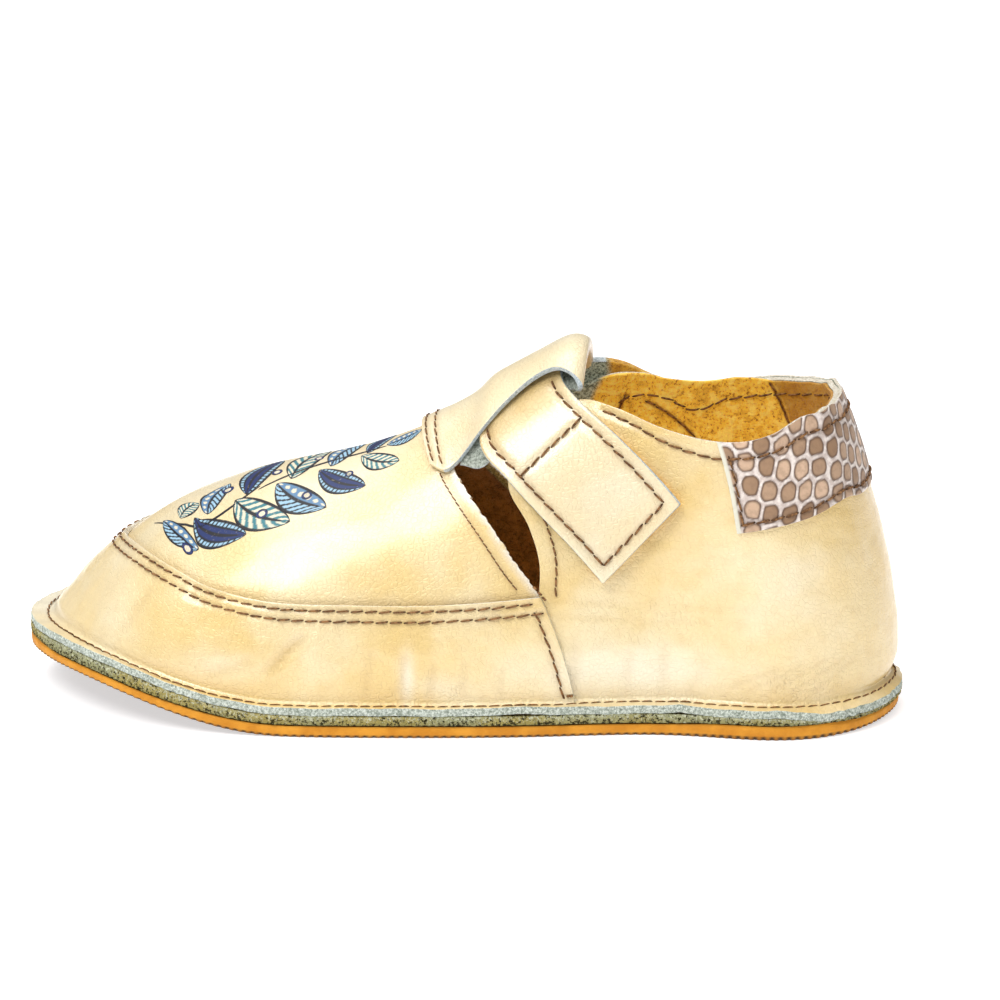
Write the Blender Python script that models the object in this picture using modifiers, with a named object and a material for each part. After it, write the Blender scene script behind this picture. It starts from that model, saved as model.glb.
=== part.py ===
"""Child's soft T-bar shoe for the left foot, stitched down on a flat rubber sole.

Lengths in the tables are millimetres and MM turns them into metres.
X runs from the toe (minus) to the heel (plus), minus Y is the lateral side, Z is up.
"""

from collections import namedtuple

import bmesh
import bpy
import numpy as np

MM = 0.001
GAP = 0.3
OUTSOLE = 2.1
MIDSOLE = 1.6
INSOLE = 1.6
FLANGE = 1.3
WALL = 1.6
OVERLAP = 1.0
FILLET = 0.8
SOLE_ROUND = 0.4
ROUND_ANGLE = 50.0
INSOLE_CLEAR = 0.5
INSOLE_LEAN = 0.4

# The rubber lies flat between the two rockers and lifts towards the toe and the heel.
TOE_ROCKER_X = -28.0
TOE_LEVEL_X = -72.0
TOE_SPRING = 6.9
TOE_CURVE = 2.2
HEEL_ROCKER_X = 60.0
HEEL_SPRING = 0.7

# Middle of the sole's outline, which becomes the origin.
MIDDLE_X = -0.8
MIDDLE_Y = 0.95

# One row per section of the last, from the heel tip to the toe tip.
# Each section leans: its rib leaves the sole edge at edge_x and ends on the instep ridge.
# flange is the ledge outside the wall, wall and crown fill the rib out low and high, swell bulges it.
Station = namedtuple("Station", "edge_x lateral medial flange ridge_x ridge_y ridge_z wall crown swell")
LAST = (
    Station(79.4, 0.5, 0.5, 2.4, 44.0, 0.0, 79.0, 0.392, 0.50, 2.6),
    Station(75.7, -12.6, 12.4, 2.6, 42.0, 0.0, 77.5, 0.399, 0.57, 2.8),
    Station(67.5, -20.6, 20.0, 3.0, 37.5, 0.0, 73.0, 0.452, 0.76, 2.8),
    Station(55.0, -23.9, 23.3, 3.2, 26.0, 0.0, 65.6, 0.502, 0.92, 2.2),
    Station(37.0, -22.6, 21.2, 3.4, 8.0, 0.0, 57.2, 0.537, 0.84, 1.9),
    Station(15.0, -26.2, 21.6, 3.4, -11.0, 0.3, 48.6, 0.524, 0.66, 1.6),
    Station(-8.0, -29.2, 26.2, 3.4, -24.0, 1.0, 44.4, 0.508, 0.58, 1.4),
    Station(-30.0, -30.6, 31.2, 3.4, -35.5, 2.0, 41.4, 0.512, 0.55, 1.2),
    Station(-50.0, -28.4, 32.4, 3.6, -41.5, 2.6, 39.3, 0.396, 0.53, 0.2),
    Station(-65.0, -20.8, 29.0, 4.0, -44.5, 3.0, 38.1, 0.29, 0.52, -1.9),
    Station(-76.0, -8.4, 20.2, 4.5, -46.0, 3.3, 37.5, 0.238, 0.50, -4.2),
    Station(-81.0, 5.6, 5.6, 4.8, -47.0, 3.5, 37.1, 0.224, 0.50, -5.1),
)
TOE = len(LAST) - 1
AROUND = 2 * TOE

# The girth of a rib runs from 0 at the sole to 1 on the ridge.
# Cut edge of the toe wall over the vamp plug: station, girth.
PLUG = (
    (4.6, 0.264),
    (5.4, 0.283),
    (6.2, 0.300),
    (7.1, 0.331),
    (7.72, 0.393),
    (8.15, 0.452),
    (8.9, 0.524),
    (10.0, 0.572),
    (11.0, 0.585),
)
# Side seam below the slit: girth, station.
SEAM = ((0.0, 4.67), (0.13, 4.76), (0.27, 4.87))
# Back edge of the vamp and front edge of the quarter, above the seam: girth, station.
VAMP_BACK = (
    (0.27, 4.87),
    (0.35, 4.98),
    (0.45, 5.07),
    (0.56, 5.14),
    (0.68, 5.15),
    (0.84, 4.98),
    (1.0, 4.68),
)
QUARTER_FRONT = ((0.27, 4.83), (0.34, 4.80), (0.45, 4.82), (0.57, 4.855), (0.675, 4.72))
SEAM_STEP = 0.02

# Top edge of the quarters from the slit to the heel: share of the way, station, girth.
COLLAR_LATERAL = (
    (0.00, 4.72, 0.675),
    (0.10, 4.38, 0.735),
    (0.20, 4.03, 0.772),
    (0.30, 3.87, 0.700),
    (0.40, 3.68, 0.612),
    (0.50, 3.39, 0.550),
    (0.60, 3.00, 0.512),
    (0.70, 2.55, 0.496),
    (0.80, 1.90, 0.491),
    (0.85, 1.44, 0.477),
    (0.90, 0.95, 0.491),
    (0.95, 0.48, 0.508),
    (1.00, 0.00, 0.517),
)
COLLAR_MEDIAL = (
    (0.00, 4.72, 0.675),
    (0.10, 4.38, 0.735),
    (0.20, 3.95, 0.772),
    (0.30, 3.74, 0.715),
    (0.40, 3.62, 0.640),
    (0.50, 3.38, 0.582),
    (0.60, 3.02, 0.553),
    (0.70, 2.55, 0.524),
    (0.80, 1.90, 0.491),
    (0.85, 1.44, 0.477),
    (0.90, 0.95, 0.491),
    (0.95, 0.48, 0.508),
    (1.00, 0.00, 0.517),
)

# Strap from the ridge down to its lateral tip: share, front x and girth, back x and girth, lift.
STRAP_THICK = 1.5
STRAP = (
    (0.0, 6.2, 1.000, 19.4, 1.000, 1.8),
    (0.15, 5.4, 0.870, 18.6, 0.950, 1.8),
    (0.3, 4.4, 0.730, 18.9, 0.850, 1.8),
    (0.5, 9.7, 0.585, 23.4, 0.715, 1.4),
    (0.66, 15.4, 0.470, 29.5, 0.600, 1.0),
    (0.83, 21.1, 0.370, 35.1, 0.505, 0.9),
    (1.0, 26.6, 0.275, 40.6, 0.415, 0.9),
)
# The medial half is shorter, widens towards its root and comes down on the quarter, where it is sewn.
STRAP_ROOT = (
    (0.0, 6.2, 1.000, 19.4, 1.000, 1.8),
    (0.15, 5.4, 0.870, 18.8, 0.945, 1.8),
    (0.3, 4.4, 0.730, 19.2, 0.842, 1.8),
    (0.4, 6.8, 0.655, 24.4, 0.778, 1.8),
    (0.5, 9.7, 0.585, 28.2, 0.730, 1.2),
    (0.6, 13.2, 0.510, 31.4, 0.680, 0.6),
    (0.72, 17.5, 0.430, 34.8, 0.630, 0.3),
)

# T-bar loop, from its front over the strap, round the fold and back under the strap.
# Each row: x on the ridge, x and girth at the side edge, outer lift, inner lift.
T_BAR = (
    (-7.3, -4.8, 0.728, 1.5, 0.3),
    (-4.5, -2.2, 0.690, 1.5, 0.3),
    (-1.2, -0.2, 0.704, 1.5, 0.3),
    (2.4, 1.3, 0.722, 1.7, 0.5),
    (5.8, 3.8, 0.752, 4.7, 3.6),
    (9.0, 9.0, 0.810, 4.8, 3.6),
    (15.0, 14.2, 0.866, 4.8, 3.6),
    (19.6, 18.2, 0.872, 4.8, 3.6),
)
T_BAR_FOLD = (
    (22.0, 21.2, 0.850, 4.3, 3.4),
    (23.4, 23.2, 0.810, 2.6, 2.5),
    (22.4, 21.8, 0.805, 0.8, 1.6),
)
T_BAR_FOLD_INSET = (0.5, 1.2, 0.5)
T_BAR_RETURN = (
    (19.6, 19.0, 0.815, 0.3, 1.5),
    (10.0, 11.4, 0.780, 0.3, 1.5),
    (5.4, 4.4, 0.705, 0.3, 1.5),
)

# Heel patch on the quarters, under the collar.
# Its low edge: share of the way from its front end to the heel, station, girth.
PATCH_THICK = 0.6
PATCH_LOW = (
    (0.0, 3.20, 0.335),
    (0.25, 2.55, 0.330),
    (0.5, 1.90, 0.330),
    (0.75, 0.98, 0.341),
    (1.0, 0.0, 0.358),
)
PATCH_FRONT_LEAN = 0.02
PATCH_TOP_CLEAR = 0.006

# Colours and roughness.
HONEY = (0.62, 0.30, 0.06)
OLIVE_GREY = (0.36, 0.38, 0.32)
OCHRE = (0.55, 0.33, 0.08)
CREAM = (0.80, 0.68, 0.46)
TAUPE = (0.45, 0.35, 0.28)
MATT, SATIN, GLOSS = 0.9, 0.55, 0.4

# Mesh density.
QUARTER_RIBS = 16
VAMP_RIBS = 14
LOW_ROWS = 6
HIGH_ROWS = 9
FIRST_GIRTH = 0.03
PLUG_STEP = 0.012
SOLE_STATIONS = 49
ACROSS = 5
STRAP_ROWS = 17
STRAP_COLUMNS = 7
T_BAR_COLUMNS = 8
PATCH_COLUMNS = 13
PATCH_ROWS = 5
FINE = np.linspace(0, TOE, 441)
NUDGE = 1e-3


def spring(x):
    """Height of the sole's underside over the floor at length x."""
    toe = np.clip((TOE_ROCKER_X - x) / (TOE_ROCKER_X - TOE_LEVEL_X), 0, 1)
    heel = np.clip((x - HEEL_ROCKER_X) / (LAST[0].edge_x - HEEL_ROCKER_X), 0, None)
    return TOE_SPRING * np.sin(toe * np.pi / 2) ** TOE_CURVE + HEEL_SPRING * heel**2


def loop_rows():
    """Sections in order round the sole: lateral side heel to toe, then medial side toe to heel."""
    lateral = [(row.edge_x, row.lateral) + tuple(row[3:]) for row in LAST]
    medial = [(row.edge_x, row.medial) + tuple(row[3:]) for row in LAST[-2:0:-1]]
    return np.array(lateral + medial)


def bends(rows):
    """Second differences of the closed cubic spline through evenly numbered rows."""
    same = np.eye(len(rows))
    system = 4 * same + np.roll(same, 1, 0) + np.roll(same, -1, 0)
    return np.linalg.solve(system, 6 * (np.roll(rows, -1, 0) - 2 * rows + np.roll(rows, 1, 0)))


ROWS = loop_rows()
BENDS = bends(ROWS)


def around(u):
    """Section values at place u round the sole, 0 at the heel and TOE at the toe tip."""
    u = np.mod(u, AROUND)
    i = np.floor(u).astype(int) % AROUND
    j = (i + 1) % AROUND
    b = (u - np.floor(u))[..., None]
    a = 1 - b
    return a * ROWS[i] + b * ROWS[j] + ((a**3 - a) * BENDS[i] + (b**3 - b) * BENDS[j]) / 6


def outline(u):
    """Section values at u and the outward direction of the sole's edge there."""
    along = (around(u + NUDGE) - around(u - NUDGE))[..., :2]
    along = along / np.linalg.norm(along, axis=-1, keepdims=True)
    return around(u), np.stack([-along[..., 1], along[..., 0]], -1)


def ledge(x):
    """Height of the flange's underside at length x."""
    return spring(x) + OUTSOLE + MIDSOLE + 2 * GAP


def rib(u):
    """Four control points of the rib at u, and the slope of the ridge where it ends."""
    row, out = outline(u)
    foot = row[..., :2] - out * row[..., 2:3]
    ridge = row[..., 3:6]
    wall, crown, swell = (row[..., k : k + 1] for k in (6, 7, 8))
    low = ledge(foot[..., :1]) + FLANGE
    rise = ridge[..., 2:] - low
    ahead = (around(u + NUDGE) - around(u - NUDGE))[..., 3:6] / NUDGE
    slope = (ahead[..., 2:] * ahead[..., :1] + NUDGE) / (ahead[..., :1] ** 2 + 2 * NUDGE)
    reach = (foot - ridge[..., :2]) * crown
    start = np.concatenate([foot, low], -1)
    side = np.concatenate([foot + out * swell, low + wall * rise], -1)
    top = np.concatenate([ridge[..., :2] + reach, ridge[..., 2:] + slope * reach[..., :1]], -1)
    return start, side, top, ridge, slope


def last(u, t):
    """Point of the last at place u and girth t."""
    start, side, top, ridge, _ = rib(u)
    t = t[..., None]
    s = 1 - t
    return s**3 * start + 3 * s * s * t * side + 3 * s * t * t * top + t**3 * ridge


def normal(u, t):
    """Outward direction of the last, level across the ridge."""
    along = last(u + NUDGE, t) - last(u - NUDGE, t)
    up = last(u, np.minimum(t + NUDGE, 1)) - last(u, np.maximum(t - NUDGE, 0))
    slope = rib(u)[4]
    on_ridge = np.concatenate([-slope, 0 * slope, 1 + 0 * slope], -1)
    out = np.where((t > 1 - NUDGE)[..., None], on_ridge, np.cross(up, along))
    return out / np.linalg.norm(out, axis=-1, keepdims=True)


def skin(u, t, lift):
    """Point at a lift above the last."""
    u, t, lift = np.broadcast_arrays(*(np.asarray(value, float) for value in (u, t, lift)))
    return last(u, t) + normal(u, t) * lift[..., None]


def through(table, at):
    """Smooth curve through a table whose first column is the place."""
    table = np.array(table)
    place, values = table[:, 0], table[:, 1:]
    slopes = np.gradient(values, place, axis=0)
    i = np.clip(np.searchsorted(place, at, side="right") - 1, 0, len(place) - 2)
    span = (place[i + 1] - place[i])[..., None]
    s = (at - place[i])[..., None] / span
    value = values[i] * (1 + 2 * s) * (1 - s) ** 2 + values[i + 1] * (3 - 2 * s) * s**2
    return value + span * (slopes[i] * s * (1 - s) ** 2 - slopes[i + 1] * (1 - s) * s**2)


def place_at(x, t, medial):
    """Place round the sole of the rib that is at length x when it is at girth t."""
    x, t = np.broadcast_arrays(x, t)
    side = AROUND - FINE if medial else FINE
    found = []
    for length, girth in zip(x.flat, t.flat):
        lengths = last(side, np.full_like(side, girth))[:, 0]
        found.append(np.interp(-length, -lengths, side))
    return np.array(found).reshape(x.shape)


def closed_sheet(name, outer, inner, missing=(), wrap=False):
    """Solid between two point grids of one layout, closed by a rim along every free edge.

    Points of the outer grid that coincide become one, so the ridge and the tips of the sole close.
    """
    rows, columns = outer.shape[:2]
    flat = outer.reshape(-1, 3)
    _, first, same = np.unique(np.round(flat, 4), axis=0, return_index=True, return_inverse=True)
    index = same.reshape(rows, columns)
    count = len(first)
    points = np.concatenate([flat[first], inner.reshape(-1, 3)[first]])
    faces = []
    for r in range(rows - 1):
        for c in range(columns if wrap else columns - 1):
            if (r, c) in missing:
                continue
            d = (c + 1) % columns
            corners = [index[r, c], index[r, d], index[r + 1, d], index[r + 1, c]]
            corners = [int(v) for k, v in enumerate(corners) if v != corners[k - 1]]
            if len(corners) > 2:
                faces.append(corners)
    edges = {(face[k - 1], face[k]) for face in faces for k in range(len(face))}
    rims = [[b, a, a + count, b + count] for a, b in edges if (b, a) not in edges]
    backs = [[v + count for v in reversed(face)] for face in faces]
    return solid(name, points, faces + backs + sorted(rims))


def solid(name, points, faces):
    """Object of one closed mesh, in metres about the middle of the sole."""
    mesh = bpy.data.meshes.new(name)
    placed = (points - np.array([MIDDLE_X, MIDDLE_Y, 0.0])) * MM
    mesh.from_pydata(placed.tolist(), [], faces)
    work = bmesh.new()
    work.from_mesh(mesh)
    bmesh.ops.recalc_face_normals(work, faces=work.faces)
    work.to_mesh(mesh)
    work.free()
    made = bpy.data.objects.new(name, mesh)
    SHOE.objects.link(made)
    return made


def slab(name, lateral, medial, low, thick):
    """Flat piece between two edge lines, whose underside has the height low(x)."""
    share = np.linspace(0, 1, ACROSS)[:, None, None]
    plan = lateral * (1 - share) + medial * share
    bottom = np.dstack([plan, low(plan[..., 0])])
    top = bottom + np.array([0, 0, thick])
    return closed_sheet(name, top, bottom)


def round_edges(made, width):
    """Rounds the cut edges of a flat piece."""
    bevel = made.modifiers.new("round", "BEVEL")
    bevel.width = width * MM
    bevel.segments = 2
    bevel.limit_method = "ANGLE"
    bevel.angle_limit = np.radians(ROUND_ANGLE)


def sole_lines(inset):
    """Lateral and medial edge lines of the sole, drawn in by an inset."""
    u = np.linspace(0, TOE, SOLE_STATIONS)
    row, out = outline(u)
    other, other_out = outline(AROUND - u)
    return row[:, :2] - out * inset, other[:, :2] - other_out * inset


def feather_lines(inset):
    """Lateral and medial lines inside the upper's wall, drawn in further where the wall leans in."""
    u = np.linspace(0, TOE, SOLE_STATIONS)
    row, out = outline(u)
    other, other_out = outline(AROUND - u)
    lean = INSOLE_LEAN * np.clip(-row[:, 8:9], 0, None)
    lateral = row[:, :2] - out * (row[:, 2:3] + inset + lean)
    medial = other[:, :2] - other_out * (other[:, 2:3] + inset + lean)
    return lateral, medial


def upper_side(medial):
    """Places, girths and wall steps of one side of the upper, a column per rib from heel to toe tip."""
    collar = COLLAR_MEDIAL if medial else COLLAR_LATERAL
    low = np.linspace(0, 1, LOW_ROWS)
    high = np.linspace(0, 1, HIGH_ROWS)
    plug = np.array(PLUG)

    # Quarter, from the slit back to the heel.
    share = np.linspace(0, 1, QUARTER_RIBS)
    top = through(collar, share)
    front_girth = QUARTER_FRONT[0][0] + (QUARTER_FRONT[-1][0] - QUARTER_FRONT[0][0]) * high
    front = through(QUARTER_FRONT, front_girth)
    shear = top[:, 0] - (1 - share) * front[-1]
    high_u = front * (1 - share) + high[:, None] * shear
    high_t = plug[0, 1] + (top[:, 1] - plug[0, 1]) * high[:, None]
    low_t = FIRST_GIRTH + (plug[0, 1] - FIRST_GIRTH) * low
    low_u = (through(SEAM, low_t) - SEAM_STEP) * (1 - share)
    low_t = np.broadcast_to(low_t[:, None], low_u.shape)
    quarter_u = np.vstack([low_u, high_u])
    quarter_t = np.vstack([low_t, high_t + PLUG_STEP * (1 - high[:, None])])

    # Vamp and toe wall, from the slit to the toe tip.
    share = np.linspace(0, 1, VAMP_RIBS)
    back_girth = VAMP_BACK[0][0] + (1 - VAMP_BACK[0][0]) * high
    back = through(VAMP_BACK, back_girth)
    high_u = back + (TOE - back) * share
    edge = through(PLUG, high_u[0])[:, 0]
    high_t = edge + PLUG_STEP * (1 - high[:, None]) + (1 - edge) * high[:, None]
    low_t = FIRST_GIRTH + (edge - FIRST_GIRTH) * low[:, None]
    seam = through(SEAM, low_t[:, 0])
    low_u = seam + (TOE - seam) * share
    vamp_u = np.vstack([low_u, high_u])
    vamp_t = np.vstack([low_t, high_t])

    u = np.hstack([quarter_u[:, ::-1], vamp_u])
    t = np.minimum(np.hstack([quarter_t[:, ::-1], vamp_t]), 1)
    step = np.zeros_like(u)
    step[:LOW_ROWS, QUARTER_RIBS:] = OVERLAP
    return (AROUND - u if medial else u), t, step


def make_upper():
    """Hollow upper: wall, plug, quarters and the flange that is sewn to the midsole."""
    sides = [upper_side(False), upper_side(True)]
    u, t, step = (np.hstack([a, b[:, -2:0:-1]]) for a, b in zip(*sides))
    outer = skin(u, t, step)
    inner = skin(u, t, np.full_like(u, -WALL))

    row, out = outline(u[0])
    under = ledge(row[:, 0])
    edge = row[:, :2]
    foot = edge - out * row[:, 2:3]
    fold = foot + out * (step[0] + FILLET)[:, None]
    corner = foot - out * (WALL / 2)
    edge_top = np.column_stack([edge, under + FLANGE])
    edge_low = np.column_stack([edge, under])
    fold_top = np.column_stack([fold, ledge(fold[:, 0]) + FLANGE])
    fold_low = np.column_stack([corner, ledge(corner[:, 0])])
    outer = np.concatenate([edge_top[None], fold_top[None], outer])
    inner = np.concatenate([edge_low[None], fold_low[None], inner])

    columns = outer.shape[1]
    slits = (QUARTER_RIBS - 1, columns - QUARTER_RIBS)
    first_open = 2 + LOW_ROWS
    missing = {(r, c) for r in range(first_open, outer.shape[0] - 1) for c in slits}
    return closed_sheet("upper", outer, inner, missing, wrap=True)


def make_strap():
    """Strap from its lateral tip over the instep to the medial quarter."""
    share = np.linspace(0, 1, STRAP_ROWS)
    lateral = through(STRAP, share[::-1])
    medial = through(STRAP_ROOT, STRAP_ROOT[-1][0] * share[1:])
    across = np.linspace(0, 1, STRAP_COLUMNS)

    def half(rows, far):
        front_x, front_t, back_x, back_t, lift = (rows[:, k : k + 1] for k in range(5))
        x = front_x + (back_x - front_x) * across
        t = np.minimum(front_t + (back_t - front_t) * across, 1)
        u = place_at(x, t, far)
        return skin(u, t, lift + STRAP_THICK), skin(u, t, lift + 0 * x)

    near_top, near_low = half(lateral, False)
    far_top, far_low = half(medial, True)
    return closed_sheet("strap", np.concatenate([near_top, far_top]), np.concatenate([near_low, far_low]))


def make_t_bar():
    """Loop on the throat that holds the strap."""
    outer_rows = np.array(T_BAR + T_BAR_FOLD + T_BAR_RETURN)
    inner_rows = outer_rows.copy()
    fold = slice(len(T_BAR), len(T_BAR) + len(T_BAR_FOLD))
    inner_rows[fold, :2] -= np.array(T_BAR_FOLD_INSET)[:, None]
    across = np.linspace(0, 1, T_BAR_COLUMNS)

    def half(rows, lift, far):
        middle_x, side_x, side_t = (rows[:, k : k + 1] for k in range(3))
        x = middle_x + (side_x - middle_x) * across**2
        t = 1 + (side_t - 1) * across
        return skin(place_at(x, t, far), t, lift[:, None] + 0 * x)

    def face(rows, lift):
        return np.hstack([half(rows, lift, False)[:, ::-1], half(rows, lift, True)[:, 1:]])

    return closed_sheet("t_bar", face(outer_rows, outer_rows[:, 3]), face(inner_rows, inner_rows[:, 4]))


def make_heel_patch():
    """Overlay round the heel, from one quarter to the other."""
    share = np.linspace(0, 1, PATCH_COLUMNS)
    low = through(PATCH_LOW, share)
    rise = np.linspace(0, 1, PATCH_ROWS)[:, None]

    def half(collar, far):
        order = np.array(collar)[::-1, 1:]
        u = low[:, 0] + rise * PATCH_FRONT_LEAN * (1 - share)
        top = np.interp(u[-1], order[:, 0], order[:, 1]) - PATCH_TOP_CLEAR
        t = low[:, 1] + (top - low[:, 1]) * rise
        place = AROUND - u if far else u
        return skin(place, t, GAP + PATCH_THICK), skin(place, t, GAP)

    near = half(COLLAR_LATERAL, False)
    far = half(COLLAR_MEDIAL, True)
    outer, inner = (np.hstack([a, b[:, -2::-1]]) for a, b in zip(near, far))
    return closed_sheet("heel_patch", outer, inner)


def paint(made, colour, rough):
    """Gives a piece its own material."""
    material = bpy.data.materials.new(made.name)
    material.use_nodes = True
    shader = material.node_tree.nodes["Principled BSDF"]
    shader.inputs["Base Color"].default_value = (*colour, 1.0)
    shader.inputs["Roughness"].default_value = rough
    made.data.materials.append(material)


for old in list(bpy.data.objects):
    bpy.data.objects.remove(old)
SHOE = bpy.data.collections.new("barefoot shoe")
bpy.context.scene.collection.children.link(SHOE)

outsole = slab("outsole", *sole_lines(0.0), spring, OUTSOLE)
midsole = slab("midsole", *sole_lines(0.0), lambda x: spring(x) + OUTSOLE + GAP, MIDSOLE)
insole = slab("insole", *feather_lines(WALL + INSOLE_CLEAR), ledge, INSOLE)
round_edges(outsole, SOLE_ROUND)

paint(outsole, HONEY, SATIN)
paint(midsole, OLIVE_GREY, MATT)
paint(insole, OCHRE, MATT)
paint(make_upper(), CREAM, GLOSS)
paint(make_t_bar(), CREAM, GLOSS)
paint(make_strap(), CREAM, GLOSS)
paint(make_heel_patch(), TAUPE, SATIN)
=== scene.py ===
# %% [markdown]
# # A child's soft T-bar shoe
# This lesson dresses the plain solids of a small stitched-down leather shoe: seams, raw edges, lining,
# a printed vamp and a patterned heel patch. The solids stay underneath as the frame. Every visible
# piece is a new surface that is worked out with numpy and then takes the place of a solid.

import bpy
import numpy as np
from mathutils import Matrix, Vector


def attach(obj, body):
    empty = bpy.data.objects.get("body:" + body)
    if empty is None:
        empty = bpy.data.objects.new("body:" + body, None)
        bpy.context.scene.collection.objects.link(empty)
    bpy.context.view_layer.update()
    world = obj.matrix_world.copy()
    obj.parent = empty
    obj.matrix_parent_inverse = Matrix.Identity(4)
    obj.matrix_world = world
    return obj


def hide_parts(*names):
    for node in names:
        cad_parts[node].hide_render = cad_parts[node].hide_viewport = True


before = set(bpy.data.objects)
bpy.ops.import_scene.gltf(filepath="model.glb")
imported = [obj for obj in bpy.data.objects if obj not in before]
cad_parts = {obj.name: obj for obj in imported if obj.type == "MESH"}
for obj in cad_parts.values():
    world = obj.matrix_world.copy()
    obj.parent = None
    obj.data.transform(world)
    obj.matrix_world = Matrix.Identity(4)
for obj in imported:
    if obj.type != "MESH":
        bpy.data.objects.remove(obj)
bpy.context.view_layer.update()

# %% [markdown]
# ## The last
# A shoe is built round a last, a model of the foot. One table describes it, with a row per section from
# the heel tip to the toe tip. Each section is a rib: a cubic curve from the sole's edge up to the ridge of
# the instep. A point on the last then has two numbers: u, its place round the sole (0 heel, 11 toe tip,
# on to 22 along the medial side), and t, its girth (0 at the sole, 1 on the ridge). All pieces use them.

# %% The table of the last
MM = 0.001
MIDDLE = np.array([-0.8, 0.95, 0.0])
GAP, OUTSOLE, MIDSOLE, FLANGE = 0.3, 2.1, 1.6, 1.3
COLUMNS = "edge_x lateral medial flange ridge_x ridge_y ridge_z wall crown swell".split()
LAST = np.array(
    [
        (79.4, 0.5, 0.5, 2.4, 44.0, 0.0, 79.0, 0.392, 0.50, 2.6),
        (75.7, -12.6, 12.4, 2.6, 42.0, 0.0, 77.5, 0.399, 0.57, 2.8),
        (67.5, -20.6, 20.0, 3.0, 37.5, 0.0, 73.0, 0.452, 0.76, 2.8),
        (55.0, -23.9, 23.3, 3.2, 26.0, 0.0, 65.6, 0.502, 0.92, 2.2),
        (37.0, -22.6, 21.2, 3.4, 8.0, 0.0, 57.2, 0.537, 0.84, 1.9),
        (15.0, -26.2, 21.6, 3.4, -11.0, 0.3, 48.6, 0.524, 0.66, 1.6),
        (-8.0, -29.2, 26.2, 3.4, -24.0, 1.0, 44.4, 0.508, 0.58, 1.4),
        (-30.0, -30.6, 31.2, 3.4, -35.5, 2.0, 41.4, 0.512, 0.55, 1.2),
        (-50.0, -28.4, 32.4, 3.6, -41.5, 2.6, 39.3, 0.396, 0.53, 0.2),
        (-65.0, -20.8, 29.0, 4.0, -44.5, 3.0, 38.1, 0.29, 0.52, -1.9),
        (-76.0, -8.4, 20.2, 4.5, -46.0, 3.3, 37.5, 0.238, 0.50, -4.2),
        (-81.0, 5.6, 5.6, 4.8, -47.0, 3.5, 37.1, 0.224, 0.50, -5.1),
    ]
)
TOE = len(LAST) - 1
AROUND = 2 * TOE
print(len(LAST), "sections with columns", COLUMNS)


# %% [markdown]
# The rows are joined by a closed cubic spline. The second differences of such a spline come from one
# small linear system, so the whole loop is smooth, also at the toe and the heel.


# %% The last as a function
def loop_of(table):
    """Rows in order round the sole: the lateral side from heel to toe, then the medial side back."""
    lateral = np.delete(table, 2, 1)
    medial = np.delete(table, 1, 1)[-2:0:-1]
    return np.concatenate([lateral, medial])


LOOP = loop_of(LAST)
SAME = np.eye(AROUND)
BENDS = np.linalg.solve(
    4 * SAME + np.roll(SAME, 1, 0) + np.roll(SAME, -1, 0),
    6 * (np.roll(LOOP, -1, 0) - 2 * LOOP + np.roll(LOOP, 1, 0)),
)
NUDGE = 1e-3
TOE_SLOPE, HEEL_SLOPE = 0.399, 0.52


def around(u):
    """Section values at place u: the cubic between the two nearest rows."""
    u = np.mod(u, AROUND)
    i = np.floor(u).astype(int) % AROUND
    j = (i + 1) % AROUND
    b = (u - np.floor(u))[..., None]
    a = 1 - b
    return a * LOOP[i] + b * LOOP[j] + ((a**3 - a) * BENDS[i] + (b**3 - b) * BENDS[j]) / 6


def spring(x):
    """Height of the sole's underside: flat in the middle, rising towards the toe and the heel."""
    toe = np.clip((-28.0 - x) / 44.0, 0, 1)
    heel = np.clip((x - 60.0) / 19.4, 0, None)
    return 6.9 * np.sin(toe * np.pi / 2) ** 2.2 + 0.7 * heel**2


def ledge(x):
    """Height of the underside of the upper's flange: both soles and their seams lie below it."""
    return spring(x) + OUTSOLE + MIDSOLE + 2 * GAP


def outline(u):
    """Section values at u and the direction out of the sole's edge, at right angles to the outline."""
    along = (around(u + NUDGE) - around(u - NUDGE))[..., :2]
    along = along / np.linalg.norm(along, axis=-1, keepdims=True)
    return around(u), np.stack([-along[..., 1], along[..., 0]], -1)


# %% [markdown]
# A rib has four control points: the foot of the wall, a point that sets how steeply the wall rises, a point
# that sets how full the crown is, and the ridge. A lift along the normal gives every layer of leather.


# %% Ribs and layers
def rib(u):
    """Four control points of the rib at u, and the slope of the ridge at its end.

    Rise over run has no value where the ridge turns back at the toe and the heel, so both slopes are given.
    """
    row, out = outline(u)
    foot = row[..., :2] - out * row[..., 2:3]
    ridge = row[..., 3:6]
    wall, crown, swell = (row[..., k : k + 1] for k in (6, 7, 8))
    low = ledge(foot[..., :1]) + FLANGE
    ahead = (around(u + NUDGE) - around(u - NUDGE))[..., 3:6] / NUDGE
    at_end = np.where(np.abs(np.asarray(u) - TOE) < 5, TOE_SLOPE, HEEL_SLOPE)[..., None]
    slope = (ahead[..., 2:] * ahead[..., :1] + 2 * NUDGE * at_end) / (ahead[..., :1] ** 2 + 2 * NUDGE)
    reach = (foot - ridge[..., :2]) * crown
    start = np.concatenate([foot, low], -1)
    side = np.concatenate([foot + out * swell, low + wall * (ridge[..., 2:] - low)], -1)
    top = np.concatenate([ridge[..., :2] + reach, ridge[..., 2:] + slope * reach[..., :1]], -1)
    return start, side, top, ridge, slope


def last(u, t):
    """Point on the last: the cubic Bezier curve of the rib at u, taken at girth t."""
    start, side, top, ridge, _ = rib(u)
    t = t[..., None]
    s = 1 - t
    return s**3 * start + 3 * s * s * t * side + 3 * s * t * t * top + t**3 * ridge


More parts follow.
